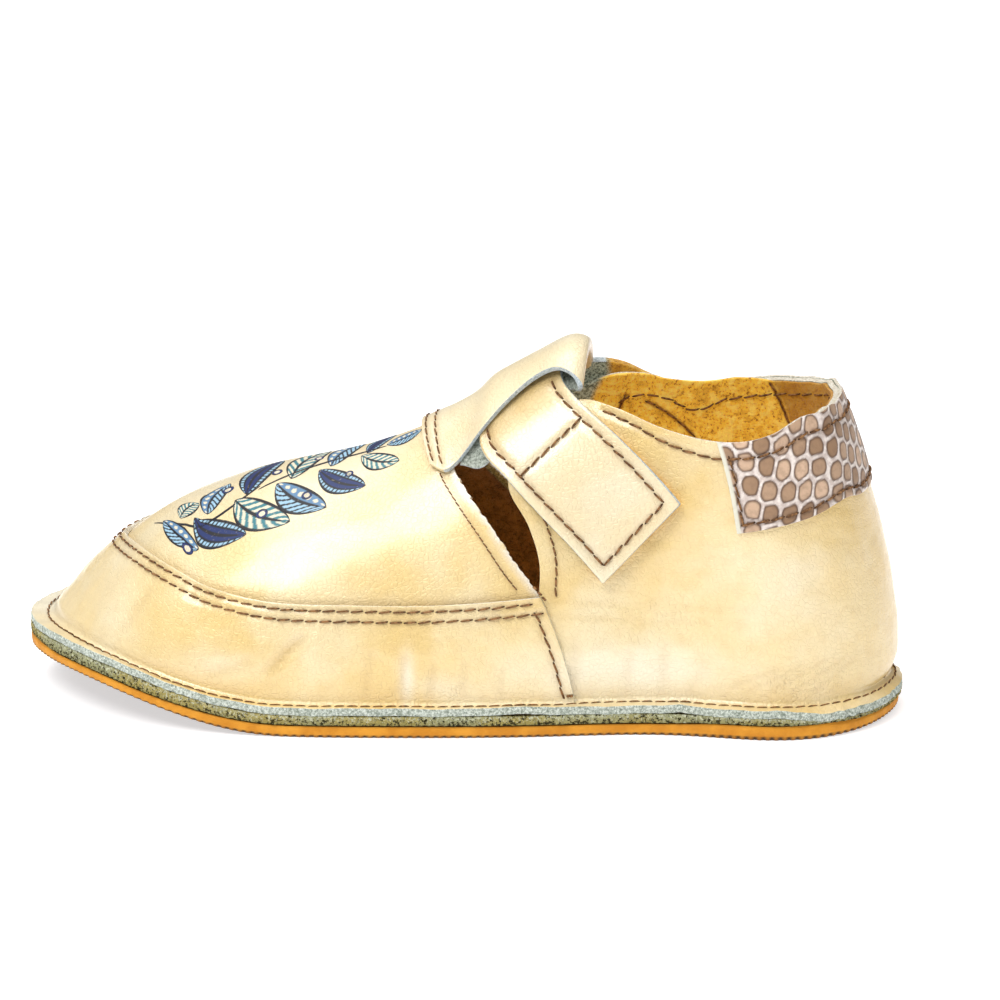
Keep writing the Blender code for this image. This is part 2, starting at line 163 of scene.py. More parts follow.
def normal(u, t):
    """Direction out of the last: across the two directions of the surface, level on the ridge."""
    along = last(u + NUDGE, t) - last(u - NUDGE, t)
    up = last(u, np.minimum(t + NUDGE, 1)) - last(u, np.maximum(t - NUDGE, 0))
    slope = rib(u)[4]
    level = np.concatenate([-slope, 0 * slope, 1 + 0 * slope], -1)
    out = np.where((t > 1 - NUDGE)[..., None], level, np.cross(up, along))
    return out / np.linalg.norm(out, axis=-1, keepdims=True)


def skin(u, t, lift):
    """Point at a lift in millimetres above the last."""
    u, t, lift = np.broadcast_arrays(*(np.asarray(value, float) for value in (u, t, lift)))
    return last(u, t) + normal(u, t) * lift[..., None]


# %% [markdown]
# Three helpers find places: a smooth curve through a table, the rib that passes a given length, and the
# change of girth for a step in millimetres.


# %% Helpers for places
def through(table, at):
    """Smooth curve through a table whose first column is the place: cubics with the mean slopes."""
    table = np.array(table, float)
    at = np.asarray(at, float)
    place, values = table[:, 0], table[:, 1:]
    slopes = np.gradient(values, place, axis=0)
    i = np.clip(np.searchsorted(place, at, side="right") - 1, 0, len(place) - 2)
    span = (place[i + 1] - place[i])[..., None]
    s = (at - place[i])[..., None] / span
    value = values[i] * (1 + 2 * s) * (1 - s) ** 2 + values[i + 1] * (3 - 2 * s) * s**2
    return value + span * (slopes[i] * s * (1 - s) ** 2 - slopes[i + 1] * (1 - s) * s**2)


def place_at(x, t, medial=False):
    """Place u of the rib that is at length x when it is at girth t, found by halving the range."""
    x, t = np.broadcast_arrays(np.asarray(x, float), np.asarray(t, float))
    low, high = np.zeros(x.shape), np.full(x.shape, float(TOE))
    for _ in range(24):
        middle = (low + high) / 2
        behind = last(AROUND - middle if medial else middle, t)[..., 0] > x
        low, high = np.where(behind, middle, low), np.where(behind, high, middle)
    return AROUND - low if medial else low


def girth_step(u, t, mm):
    """Change of girth that moves a point by some millimetres along its rib."""
    speed = np.linalg.norm(last(u, t + NUDGE) - last(u, t - NUDGE), axis=-1) / (2 * NUDGE)
    return mm / speed


print("length of the last", round(float(np.ptp(outline(np.linspace(0, AROUND, 400))[0][:, 0])), 1), "mm")

# %% [markdown]
# ## Cut lines
# The upper is cut from a toe wall, a vamp plug and a quarter. Each cut line is a short table, read off
# the photograph as place and girth. The slits beside the instep lie between the back edge of the vamp
# and the front edge of the quarter.

# %% Tables of the cut lines
PLUG = (
    (4.6, 0.264),
    (5.4, 0.283),
    (6.2, 0.300),
    (7.1, 0.331),
    (7.72, 0.393),
    (8.15, 0.452),
    (8.9, 0.524),
    (10.0, 0.572),
    (11.0, 0.585),
)
SEAM = ((0.0, 4.67), (0.13, 4.76), (0.27, 4.87))
VAMP_BACK = (
    (0.2, 4.80),
    (0.27, 4.87),
    (0.35, 4.98),
    (0.45, 5.07),
    (0.56, 5.14),
    (0.68, 5.15),
    (0.84, 4.98),
    (1.0, 4.68),
)
QUARTER_FRONT = (
    (0.0, 4.93),
    (0.13, 4.93),
    (0.22, 4.90),
    (0.285, 4.868),
    (0.34, 4.83),
    (0.45, 4.825),
    (0.57, 4.855),
    (0.675, 4.72),
)
COLLAR_HEEL = (
    (0.80, 1.90, 0.491),
    (0.85, 1.44, 0.477),
    (0.90, 0.95, 0.491),
    (0.95, 0.48, 0.508),
    (1.00, 0.00, 0.517),
)
COLLAR_LATERAL = (
    (0.00, 4.72, 0.675),
    (0.10, 4.38, 0.735),
    (0.20, 4.03, 0.772),
    (0.30, 3.87, 0.700),
    (0.40, 3.68, 0.612),
    (0.50, 3.39, 0.550),
    (0.60, 3.00, 0.512),
    (0.70, 2.55, 0.496),
) + COLLAR_HEEL
COLLAR_MEDIAL = (
    (0.00, 4.72, 0.675),
    (0.10, 4.38, 0.712),
    (0.20, 3.95, 0.740),
    (0.30, 3.74, 0.692),
    (0.40, 3.62, 0.632),
    (0.50, 3.38, 0.582),
    (0.60, 3.02, 0.553),
    (0.70, 2.55, 0.524),
) + COLLAR_HEEL


def plug_girth(u):
    """Girth of the toe wall's cut edge at place u, the same on both sides."""
    return through(PLUG, np.minimum(np.mod(u, AROUND), AROUND - np.mod(u, AROUND)))[..., 0]


print("cut edge at the toe tip is at girth", float(plug_girth(np.array(float(TOE)))))


# %% [markdown]
# ## From grids to meshes
# Every leather piece is a sheet: an outer grid of points, an inner grid of the same layout, and a rim of
# faces round the free edges. Points that coincide become one, which closes the ridge. A rim is one
# face wide, so a Bevel modifier rounds it. Faces carry three material slots: outside, cut edge, inside.


# %% Sheets
def wavy(points, length, seed, waves=9):
    """Smooth noise from -1 to 1: the mean of sine waves of about one wavelength in seeded directions."""
    rng = np.random.default_rng(seed)
    way = rng.normal(size=(waves, 3))
    way /= np.linalg.norm(way, axis=1, keepdims=True)
    way *= 2 * np.pi / (length * rng.uniform(0.7, 1.5, (waves, 1)))
    return np.sin(points @ way.T + rng.uniform(0, 2 * np.pi, waves)).mean(-1) * 1.8


def put(name, points, faces, slots=None, facts=None):
    """Mesh object at the origin, in metres, with facts as attributes of its points."""
    mesh = bpy.data.meshes.new(name)
    mesh.from_pydata(((points - MIDDLE) * MM).tolist(), [], faces)
    mesh.polygons.foreach_set("use_smooth", np.ones(len(mesh.polygons), bool))
    if slots is not None:
        mesh.polygons.foreach_set("material_index", slots)
    for key, values in (facts or {}).items():
        kind = "FLOAT" if values.ndim == 1 else "FLOAT_COLOR"
        held = mesh.attributes.new(key, kind, "POINT")
        held.data.foreach_set("value" if values.ndim == 1 else "color", values.astype(np.float32).ravel())
    mesh.update()
    made = bpy.data.objects.new(name, mesh)
    bpy.context.scene.collection.objects.link(made)
    return made


# %% [markdown]
# The outer grid's index gives the faces of both sides. An edge that only one face uses is free, and gets a
# face of the rim.


# %% Sheet between two grids
def sheet(name, outer, inner, facts=None, rounding=0.25, other=None):
    """Closed leather sheet between two grids, rim included, turned so that the outer grid faces out.

    Cut edges for which other is true take the fourth material slot instead of the second.
    """
    rows, columns = outer.shape[:2]
    flat = outer.reshape(-1, 3)
    _, first, same = np.unique(np.round(flat, 4), axis=0, return_index=True, return_inverse=True)
    index = same.reshape(rows, columns)
    count = len(first)
    points = np.concatenate([flat[first], inner.reshape(-1, 3)[first]])
    quads = np.stack([index[:-1, :-1], index[:-1, 1:], index[1:, 1:], index[1:, :-1]], -1).reshape(-1, 4)
    middle = np.cross(points[quads[:, 2]] - points[quads[:, 0]], points[quads[:, 3]] - points[quads[:, 1]])
    if np.sum(middle * (points[quads[:, 0]] - points[quads[:, 0] + count])) < 0:
        quads = quads[:, ::-1]
    pinched = (quads == np.roll(quads, 1, 1)).any(1)
    whole = quads[~pinched]
    folded = [list(dict.fromkeys(quad)) for quad in quads[pinched].tolist()]
    folded = [corners for corners in folded if len(corners) == 3]
    sides = [np.stack([whole, np.roll(whole, -1, 1)], -1).reshape(-1, 2)]
    if folded:
        small = np.array(folded)
        sides.append(np.stack([small, np.roll(small, -1, 1)], -1).reshape(-1, 2))
    sides = np.concatenate(sides)
    free = ~np.isin(sides[:, 1] * count + sides[:, 0], sides[:, 0] * count + sides[:, 1])
    a, b = sides[free].T
    rim = np.stack([b, a, a + count, b + count], -1)
    faces = whole.tolist() + folded
    backs = [[v + count for v in reversed(face)] for face in faces]
    slots = np.repeat([0, 2, 1], [len(faces), len(backs), len(rim)])
    if other is not None:
        slots[len(faces) + len(backs) :] = np.where(other(points[rim].mean(1)), 3, 1)
    held = {key: np.concatenate([v.reshape(-1, *v.shape[2:])[first]] * 2) for key, v in (facts or {}).items()}
    made = put(name, points, faces + backs + rim.tolist(), slots, held)
    if rounding:
        bevel = made.modifiers.new("rounded cut edge", "BEVEL")
        bevel.width = rounding * MM
        bevel.segments = 2
        bevel.limit_method = "ANGLE"
        bevel.angle_limit = np.radians(42)
        bevel.use_clamp_overlap = True
    return made


def dress(made, node, slot, *finishes):
    """Joins a piece to the frame and gives it its finishes, one per material slot."""
    for finish in finishes:
        made.data.materials.append(finish)
    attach(made, "root")
    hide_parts(*node.split())
    print(made.name, len(made.data.polygons), "faces")
    return made


# %% [markdown]
# ## Finishes
# Leather, suede and rubber get their look from a few noise patterns on the piece's own coordinates.
# A small class stands for one socket of a material, so that shader maths reads as plain sums.


# %% Shader maths
class Part:
    """One socket of a material, with Python's own arithmetic."""

    def __init__(self, finish, socket):
        self.finish, self.socket = finish, socket

    def sum(self, operation, a, b):
        return self.finish.node("ShaderNodeMath", {"operation": operation}, {0: a, 1: b})

    def __add__(self, other):
        return self.sum("ADD", self, other)

    def __radd__(self, other):
        return self.sum("ADD", other, self)

    def __sub__(self, other):
        return self.sum("SUBTRACT", self, other)

    def __rsub__(self, other):
        return self.sum("SUBTRACT", other, self)

    def __mul__(self, other):
        return self.sum("MULTIPLY", self, other)

    def __rmul__(self, other):
        return self.sum("MULTIPLY", other, self)


# %% [markdown]
# A finish is one material. Each of its methods adds a node: noise, cells, a band of values, a mix of colours
# or a bump.


# %% One finish
class Finish:
    """A material with one Principled shader, whose fixed values are set on its own sockets."""

    def __init__(self, name, **fixed):
        self.material = bpy.data.materials.new(name)
        self.material.use_nodes = True
        self.tree = self.material.node_tree
        self.shader = self.tree.nodes["Principled BSDF"]
        for key, value in fixed.items():
            self.shader.inputs[key.replace("_", " ")].default_value = value

    def node(self, kind, settings=None, sockets=None, out=0):
        """New node with its settings; a socket takes a number or the output of another node."""
        made = self.tree.nodes.new(kind)
        for key, value in (settings or {}).items():
            setattr(made, key, value)
        for key, value in (sockets or {}).items():
            if isinstance(value, Part):
                self.tree.links.new(value.socket, made.inputs[key])
            else:
                made.inputs[key].default_value = value
        return Part(self, made.outputs[out])

    def where(self):
        """Place on the piece, in object coordinates."""
        return self.node("ShaderNodeTexCoord", out=3)

    def fact(self, name, out=2):
        """Value that the piece's points carry under a name, nil where there is none."""
        return self.node("ShaderNodeAttribute", {"attribute_name": name}, out=out)

    def noise(self, scale, detail=3.0, rough=0.55, at=None):
        sockets = {"Vector": at or self.where(), "Scale": scale, "Detail": detail, "Roughness": rough}
        return self.node("ShaderNodeTexNoise", None, sockets)

    def cells(self, scale, feature="F1", at=None):
        sockets = {"Vector": at or self.where(), "Scale": scale}
        return self.node("ShaderNodeTexVoronoi", {"feature": feature}, sockets)

    def band(self, value, low, high):
        """Rises from 0 to 1 while a value goes from low to high."""
        sockets = {0: value, 1: low, 2: high, 3: 0.0, 4: 1.0}
        return self.node("ShaderNodeMapRange", {"interpolation_type": "SMOOTHSTEP"}, sockets)

    def mix(self, share, a, b):
        colours = {6: a if isinstance(a, Part) else (*a, 1.0), 7: b if isinstance(b, Part) else (*b, 1.0)}
        return self.node("ShaderNodeMix", {"data_type": "RGBA"}, {0: share, **colours}, out=2)

    def feed(self, **links):
        for key, value in links.items():
            self.tree.links.new(value.socket, self.shader.inputs[key.replace("_", " ")])

    def bump(self, height, depth):
        """Fine relief of a depth in metres, without new faces."""
        part = self.node("ShaderNodeBump", None, {"Height": height, "Distance": depth, "Strength": 1.0})
        self.feed(Normal=part)


# %% [markdown]
# The cream leather is pale gold with a pearly gloss. Its tone drifts in soft patches, its grain is a
# fine net of cells with thin fold lines, and a coat gives the broad white shine. In creases, beside seams,
# under the strap's loop and where the plug dives under the toe wall, the leather is darker and warmer: this
# is painted shade. The pale fact is a painted highlight, and frayed cut edges are pale as well. A finer net
# of wrinkles shows where the fact called pucker is high.


# %% Leather finishes
def cream_leather(name="cream leather"):
    """Gold and cream patches with painted shade and painted highlight, over a grain of two cell sizes."""
    f = Finish(name, Metallic=0.1, Coat_Weight=0.7, Coat_IOR=1.75, Coat_Roughness=0.2)
    patch = f.band(f.noise(32.0, 3.0), 0.36, 0.64)
    fine = f.noise(420.0, 4.0)
    pearl = f.band(f.noise(70.0, 3.0), 0.42, 0.66) * 0.16
    tone = f.mix(patch * 0.8, (0.82, 0.59, 0.225), (0.88, 0.71, 0.385))
    tone = f.mix(f.band(fine, 0.42, 0.72) * 0.25, tone, (0.72, 0.49, 0.18))
    # The pale fact is painted highlight; the pearl patches are paler cream at random.
    tone = f.mix(pearl + f.fact("pale"), tone, (0.95, 0.91, 0.76))
    # Painted shade: darker and warmer where the darkening fact is high.
    tone = f.mix(f.fact("painted_shade_and_darkening"), tone, (0.44, 0.24, 0.06))
    tone = f.mix(f.fact("fray") * f.band(fine, 0.3, 0.55), tone, (0.93, 0.90, 0.84))
    grain = f.cells(1150.0, "DISTANCE_TO_EDGE")
    lines = f.noise(170.0, 2.0, 0.5) - 0.5
    folds = f.band(lines * lines, 0.0, 0.0012)
    ripple = f.noise(700.0, 2.0, 0.5) - 0.5
    ripple = f.band(ripple * ripple, 0.0, 0.006)
    f.feed(Base_Color=tone, Roughness=0.34 + 0.16 * fine)
    f.bump(f.band(grain, 0.0, 0.16) * 0.6 + fine * 0.8 + folds * 0.2 + ripple * f.fact("pucker"), 0.0001)
    return f.material


def raw_edge(name, low, high):
    """Fuzzy cut edge: two tones in a fine fibre noise."""
    f = Finish(name, Specular_IOR_Level=0.2, Roughness=0.95)
    fibre = f.noise(2300.0, 5.0, 0.75)
    f.feed(Base_Color=f.mix(f.band(fibre, 0.36, 0.64), low, high))
    f.bump(fibre, 0.0004)
    return f.material


# %% [markdown]
# Suede has fibres instead of grain. Where the fact called bare is high, the grey flesh side shows. The thread
# is darker at both ends of each stitch, with painted shade where it dives into the leather.


# %% Suede and thread
def suede(name, dark, mid, light, painted_fill_light=0.0):
    """Nap of short fibres: fine noise in three tones, with clumps of light and dark fibre.

    The darkening fact and the shadow fact darken it, mostly with painted shade, and bare shows a grey
    flesh side. Its emission is painted fill light, which brightens the nap inside the shoe.
    """
    f = Finish(name, Specular_IOR_Level=0.15, Roughness=0.96, Sheen_Weight=0.25, Emission_Strength=painted_fill_light)
    fibre = f.noise(2000.0, 5.0, 0.72)
    clump = f.noise(560.0, 3.0)
    tone = f.mix(f.band(fibre, 0.34, 0.52), dark, mid)
    tone = f.mix(f.band(clump, 0.48, 0.64) * 0.7, tone, light)
    tone = f.mix(f.band(0.5 - clump, 0.03, 0.16) * 0.35, tone, dark)
    tone = f.mix(f.fact("painted_shade_and_darkening"), tone, dark)
    tone = f.mix(f.fact("shadow"), tone, dark)
    flesh = f.mix(f.band(fibre, 0.4, 0.6), (0.08, 0.10, 0.07), (0.42, 0.46, 0.36))
    tone = f.mix(f.fact("bare"), tone, flesh)
    # The emission is painted light: the suede glows a little in its own tone.
    f.feed(Base_Color=tone, Emission_Color=tone)
    f.bump(fibre, 0.0006)
    return f.material


def brown_thread():
    """Waxed brown thread, twisted: tone changes along each stitch, with painted shade at both ends."""
    f = Finish("brown thread", Specular_IOR_Level=0.3, Roughness=0.7)
    twist = f.noise(1600.0, 3.0)
    tone = f.mix(f.band(twist, 0.35, 0.65), (0.10, 0.042, 0.014), (0.34, 0.17, 0.065))
    # Painted shade at both ends of each stitch.
    f.feed(Base_Color=f.mix(f.fact("hole_shade"), tone, (0.018, 0.008, 0.004)))
    return f.material


CREAM = cream_leather()
PALE_EDGE = raw_edge("pale raw edge", (0.26, 0.31, 0.25), (0.84, 0.90, 0.82))
BLUE_EDGE = raw_edge("blue raw edge", (0.42, 0.50, 0.53), (0.78, 0.84, 0.86))
WHITE_EDGE = raw_edge("white raw edge", (0.60, 0.53, 0.40), (0.90, 0.86, 0.76))
FLESH = raw_edge("flesh side", (0.22, 0.25, 0.20), (0.64, 0.68, 0.60))
# The ochre suede carries painted fill light: it glows with strength 0.34.
OCHRE = suede("ochre suede", (0.30, 0.11, 0.008), (0.93, 0.54, 0.05), (0.98, 0.70, 0.14), 0.34)
# The brown suede is dark partly as painted shade for the inside of the forefoot.
BROWN_PAINTED_SHADE = suede("brown suede", (0.07, 0.034, 0.018), (0.26, 0.135, 0.075), (0.36, 0.20, 0.12))
THREAD = brown_thread()
print(len(bpy.data.materials), "finishes")

# %% [markdown]
# ## Seam rows
# The seams come before the leather, because each row of stitches presses a shallow groove into it. A row
# is a line on the last with a lift. Rows beside a cut edge are moved in from the edge by millimetres.

# %% Lines of the seams
ROWS = {}


def row(name, u, t, lift, pitch=3.0, thick=0.21):
    """Keeps a seam row: its points, the directions out of the leather, its stitch pitch and thread size."""
    u, t, lift = np.broadcast_arrays(*(np.asarray(v, float) for v in (u, t, lift)))
    ROWS[name] = (skin(u, t, lift), normal(u, t), pitch, thick)


def both(name, u, t, lift, **more):
    """The same row on the lateral and the medial side."""
    row(name + " lateral", u, t, lift, **more)
    row(name + " medial", AROUND - u, t, lift, **more)


WALL_LIFT = 1.15
for name, first, inset in (("plug upper", 4.93, 1.1), ("plug lower", 4.86, 2.9)):
    around_toe = np.linspace(first, AROUND - first, 700)
    edge = plug_girth(around_toe)
    row(name, around_toe, edge - girth_step(around_toe, edge, inset), WALL_LIFT, pitch=2.5, thick=0.18)
girth = np.linspace(0.01, 0.238, 90)
both("side seam", through(SEAM, girth)[:, 0] + 0.085, girth, WALL_LIFT, pitch=2.6, thick=0.2)
girth = np.linspace(0.298, 0.70, 160)
both("vamp back", through(VAMP_BACK, girth)[:, 0] + 0.125, girth, 0.0, pitch=1.3, thick=0.13)
girth = np.linspace(0.262, 0.66, 160)
both("quarter front", through(QUARTER_FRONT, girth)[:, 0] - 0.125, girth, 0.0, pitch=1.8, thick=0.18)
tack = np.linspace(0, 1, 20)
both("slit tack", 4.91 - 0.08 * tack, 0.303 - 0.045 * tack, WALL_LIFT, pitch=1.1, thick=0.22)
both("seam knot", 4.74 - 0.05 * tack, 0.02 + 0.0 * tack, WALL_LIFT + 0.1, pitch=0.8, thick=0.26)
row("heel tack", 0.1 + 0.4 * tack, 0.036 - 0.026 * tack, 0.05, pitch=1.6, thick=0.17)


def collar_line(medial, first, final, count):
    """Places and girths along one side's collar."""
    line = through(COLLAR_MEDIAL if medial else COLLAR_LATERAL, np.linspace(first, final, count))
    return (AROUND - line[:, 0] if medial else line[:, 0]), line[:, 1]


COLLAR_INSET = 3.2
for name, medial in (("collar lateral", False), ("collar medial", True)):
    u, t = collar_line(medial, 0.235, 0.555, 420)
    row(name, u, t - girth_step(u, t, COLLAR_INSET), 0.0, pitch=2.8, thick=0.2)
print(len(ROWS), "seam rows so far")


# %% [markdown]
# A panel is pressed in near each seam. The distance from every point of the panel to the row is found
# for all pairs at once, in blocks, and the groove is a bell curve of that distance.


# %% Grooves and creases
def distance_to(points, line):
    """Distance of each point to the nearest of a dense line's points."""
    shape = points.shape[:-1]
    flat = points.reshape(-1, 3)
    blocks = np.array_split(flat, max(1, len(flat) // 4000))
    near = [np.sqrt(((block[:, None] - line[None, ::2]) ** 2).sum(-1).min(1)) for block in blocks]
    return np.concatenate(near).reshape(shape)


def grooves(points, names, depth=0.16, width=0.75):
    """Sum of the pressed grooves of the named rows, and the painted shade beside them."""
    total = np.zeros(points.shape[:-1])
    for name in names:
        total = np.maximum(total, np.exp(-((distance_to(points, ROWS[name][0]) / width) ** 2)))
    # The second value is painted shade in and beside the grooves.
    return depth * total, 0.22 * total


def creases(points, table):
    """Soft troughs (or ridges, where the depth is negative) along straight lines seen from the side.

    Each row holds the side (-1 lateral, 1 medial), x and z of both ends, width and depth.
    """
    lift, dark = np.zeros(points.shape[:-1]), np.zeros(points.shape[:-1])
    x, y, z = np.moveaxis(points, -1, 0)
    for side, x0, z0, x1, z1, width, depth in table:
        span = np.hypot(x1 - x0, z1 - z0)
        along = ((x - x0) * (x1 - x0) + (z - z0) * (z1 - z0)) / span
        away = ((x - x0) * (z1 - z0) - (z - z0) * (x1 - x0)) / span
        beyond = np.maximum(np.maximum(-along, along - span), 0)
        shape = np.exp(-((away / width) ** 2) - (beyond / (2 * width)) ** 2) * (y * side > -4)
        lift -= 1.15 * depth * shape
        # dark is painted shade in the crease troughs; ridges get none.
        dark += np.clip(depth, 0, 1) * 0.7 * shape
    return lift, dark


# %% [markdown]
# The main creases of the photograph are placed as lines on one side of the shoe, with a width and
# a depth. Pale spots are painted highlight where the leather catches the light, and pucker spots say where it
# is puckered.

# %% Creases and spots
WALL_CREASES = (
    (-1, -30.8, 13.0, -27.3, 16.6, 1.1, 0.42),
    (-1, -29.2, 12.0, -25.4, 15.8, 1.0, -0.30),
    (-1, -15.0, 8.0, -14.0, 14.0, 0.8, 0.22),
    (-1, -8.5, 7.5, -8.0, 13.5, 0.7, 0.30),
    (-1, -3.5, 7.5, -3.0, 12.0, 0.7, 0.25),
    (-1, 2.5, 7.5, 2.8, 12.5, 0.8, 0.22),
    (-1, 9.0, 7.5, 9.3, 11.5, 0.7, 0.20),
    (-1, -42.0, 11.0, -37.0, 13.0, 1.2, 0.14),
    (-1, -60.0, 16.0, -56.0, 22.0, 0.9, 0.18),
    (1, -30.0, 10.0, -22.0, 15.0, 0.9, 0.40),
    (1, -8.0, 8.0, -6.0, 14.0, 0.8, 0.28),
    (1, 4.0, 8.0, 4.5, 13.0, 0.8, 0.25),
)
QUARTER_CREASES = (
    (-1, 21.5, 7.0, 22.0, 15.0, 1.1, 0.20),
    (-1, 37.3, 7.0, 37.6, 15.0, 1.1, 0.20),
    (-1, 43.0, 8.0, 44.5, 13.0, 1.0, 0.12),
    (-1, 31.0, 8.0, 31.5, 13.0, 0.9, 0.18),
    (-1, 20.0, 21.5, 30.0, 20.8, 0.45, 0.12),
    (-1, 24.0, 24.0, 36.0, 23.0, 0.45, 0.10),
    (-1, 33.0, 20.0, 45.0, 20.6, 0.45, 0.12),
    (-1, 40.0, 23.0, 52.0, 23.4, 0.45, 0.10),
    (-1, 22.0, 14.0, 48.0, 14.6, 2.6, -0.45),
    (-1, 50.0, 9.0, 58.0, 12.5, 0.5, 0.20),
    (-1, 53.0, 8.5, 62.0, 13.0, 0.5, 0.20),
    (-1, 57.0, 8.5, 66.0, 13.5, 0.5, 0.20),
    (-1, 61.0, 8.5, 69.0, 13.5, 0.5, 0.18),
    (-1, 65.0, 8.5, 71.0, 13.0, 0.5, 0.16),
    (1, 30.0, 8.0, 31.0, 18.0, 1.3, 0.34),
    (1, 45.0, 8.0, 47.0, 17.0, 1.3, 0.30),
)
# Spots of painted highlight on the leather.
PAINTED_HIGHLIGHT_SPOTS = (
    (-1, 31.0, 11.5, 15.0, 4.6, 0.7),
    (-1, -7.6, 10.5, 1.3, 4.5, 0.7),
    (-1, -2.0, 9.0, 4.0, 2.2, 0.35),
    (-1, -42.0, 12.0, 9.0, 3.0, 0.35),
    (-1, -62.0, 20.0, 6.0, 8.0, 0.3),
    (-1, 58.0, 28.0, 7.0, 9.0, 0.25),
    (1, 30.0, 12.0, 14.0, 5.0, 0.5),
    (1, -25.0, 12.0, 12.0, 3.0, 0.4),
)
PUCKER_SPOTS = (
    (-1, 62.0, 9.0, 11.0, 4.0, 1.0),
    (-1, 34.0, 21.0, 16.0, 5.0, 0.8),
    (-1, -4.0, 8.0, 14.0, 3.0, 0.8),
    (1, 60.0, 9.5, 11.0, 4.0, 1.2),
    (1, 0.0, 8.0, 16.0, 3.0, 0.7),
)


def spots(points, table):
    """Sum of soft oval spots, each with a side, a middle in x and z, two half sizes and a strength."""
    total = np.zeros(points.shape[:-1])
    for side, x, z, long, high, strength in table:
        far = ((points[..., 0] - x) / long) ** 2 + ((points[..., 2] - z) / high) ** 2
        total += strength * np.exp(-far) * (points[..., 1] * side > 0)
    return total


print(len(WALL_CREASES) + len(QUARTER_CREASES), "creases placed by hand")

# %% [markdown]
# ## Toe wall
# The toe wall is a strip that starts as a flange on the midsole, bends up through a small fillet and
# stands round the forefoot. Its cut edge lies on top of the plug. The grid has a column per place round
# the toe, and its rows run over the flange, round the fillet and up the wall.


# %% Flange, fillet and wall
LEATHER, FILLET, SAG, HEEL_DROOP = 1.1, 1.1, 0.2, 1.0


def smooth(value, low, high):
    """Rises from 0 to 1 between two values, with level ends."""
    s = np.clip((value - low) / (high - low), 0, 1)
    return s * s * (3 - 2 * s)


def droop(x):
    """Drop of the flange's outer edge round the heel, where the soft edge hangs down."""
    return HEEL_DROOP * smooth(x, 58.0, 68.0)


def flange_wave(u):
    """Small ups and downs of the flange, with a bump and a lifted stretch on the lateral side."""
    ripple = 0.07 * np.sin(u * 5.3) + 0.06 * np.sin(u * 13.7 + 1.0)
    return ripple + 0.3 * np.exp(-(((u - 3.83) / 0.1) ** 2)) + 0.22 * np.exp(-(((u - 5.15) / 0.3) ** 2))


def standing(u, t_rows, lift, thick, fillet=FILLET, flat_rows=7, bend_rows=7):
    """Outer and inner grids of a strip with a flange: flat ledge, quarter-circle fillet, then the last.

    u has a row per girth and a column per place. The flange follows the lowest row's places.
    """
    foot_u = u[0]
    place, out = outline(foot_u)
    edge = place[:, :2]
    first_t = t_rows[0]
    wall = last(foot_u, first_t)[:, :2]
    wave = flange_wave(foot_u)
    low = ledge(edge[:, 0]) - droop(edge[:, 0])
    rise = ledge(wall[:, 0]) + FLANGE
    share = np.linspace(0, 1, flat_rows)[:, None]
    bend = np.linspace(0, np.pi / 2, bend_rows)[1:-1, None]
    end = wall + out * (lift + fillet)
    fuzz = 0.16 * wavy(np.column_stack([edge, low]), 1.5, 5)
    start = edge + out * fuzz[:, None]
    flat = start + (end - start) * share[..., None]
    flat_top = (low + FLANGE + wave) * (1 - share) + (rise + 0.4 * wave) * share
    turn = wall + out * (lift + fillet - fillet * np.sin(bend))[..., None]
    turn_top = rise + 0.4 * wave + fillet * (1 - np.cos(bend))
    inner_turn = wall + out * (lift + fillet - (fillet + thick) * np.sin(bend))[..., None]
    inner_low = rise + 0.4 * wave + fillet - (fillet + thick) * np.cos(bend)
    flat_low = (low + wave - SAG) * (1 - share) + (rise - thick + 0.4 * wave) * share
    outer = np.concatenate([np.dstack([flat, flat_top]), np.dstack([turn, turn_top])])
    inner = np.concatenate([np.dstack([flat, flat_low]), np.dstack([inner_turn, inner_low])])
    return outer, inner


# %% [markdown]
# A strip is the flange and the wall above it in one grid. Grooves, creases and soft unevenness move its outer
# side, and the facts for the finish come from the same numbers.


# %% Strip with a flange
def first_girth(u, height=FILLET):
    """Girth at which a rib has risen by a height over the flange."""
    start, side, _, _, _ = rib(u)
    return height / (3 * (side[..., 2] - start[..., 2]))


def strip(name, u, t, lift, thick, rows_pressed, table, swell=0.0):
    """Leather strip with a flange, its grooves, its creases and a swell in millimetres."""
    base_out, base_in = standing(u, t, lift, thick)
    plain = skin(u, t, lift)
    press, painted_shade_and_darkening = grooves(plain, rows_pressed)
    fold, dark = creases(plain, table)
    soft = 0.15 * wavy(plain, 9.0, 3) + 0.035 * wavy(plain, 2.6, 4)
    fade = np.clip((t - t[0]) / 0.05, 0, 1)
    outer = skin(u, t, lift - press + (fold + soft) * fade + swell)
    inner = skin(u, t, lift - thick + swell)
    outer = np.concatenate([base_out, outer])
    inner = np.concatenate([base_in, inner])
    painted_shade_and_darkening = np.concatenate([np.zeros(base_out.shape[:2]), painted_shade_and_darkening + dark])
    tip = np.exp(-(((np.concatenate([u[:1]] * len(base_out) + [u]) - TOE - 0.5) / 1.0) ** 2))
    fray = np.zeros(painted_shade_and_darkening.shape)
    fray[-2:] = np.array([[0.2], [0.8]]) * (0.2 + 0.8 * tip[-2:])
    # pale is painted highlight, in the spots and on the flange round the toe tip.
    pale = spots(outer, PAINTED_HIGHLIGHT_SPOTS)
    pale[: len(base_out)] += 0.7 * tip[: len(base_out)]
    facts = {"painted_shade_and_darkening": painted_shade_and_darkening, "fray": fray, "pale": pale, "pucker": spots(outer, PUCKER_SPOTS)}
    return sheet(name, outer, inner, facts=facts, other=lambda middle: middle[:, 2] > 18.0)


# %% [markdown]
# The wall's grid is fitted between its lines: the side seams at both ends, the flange below and the cut edge
# above. The seam's place depends on the girth, so the girths are worked out a second time.

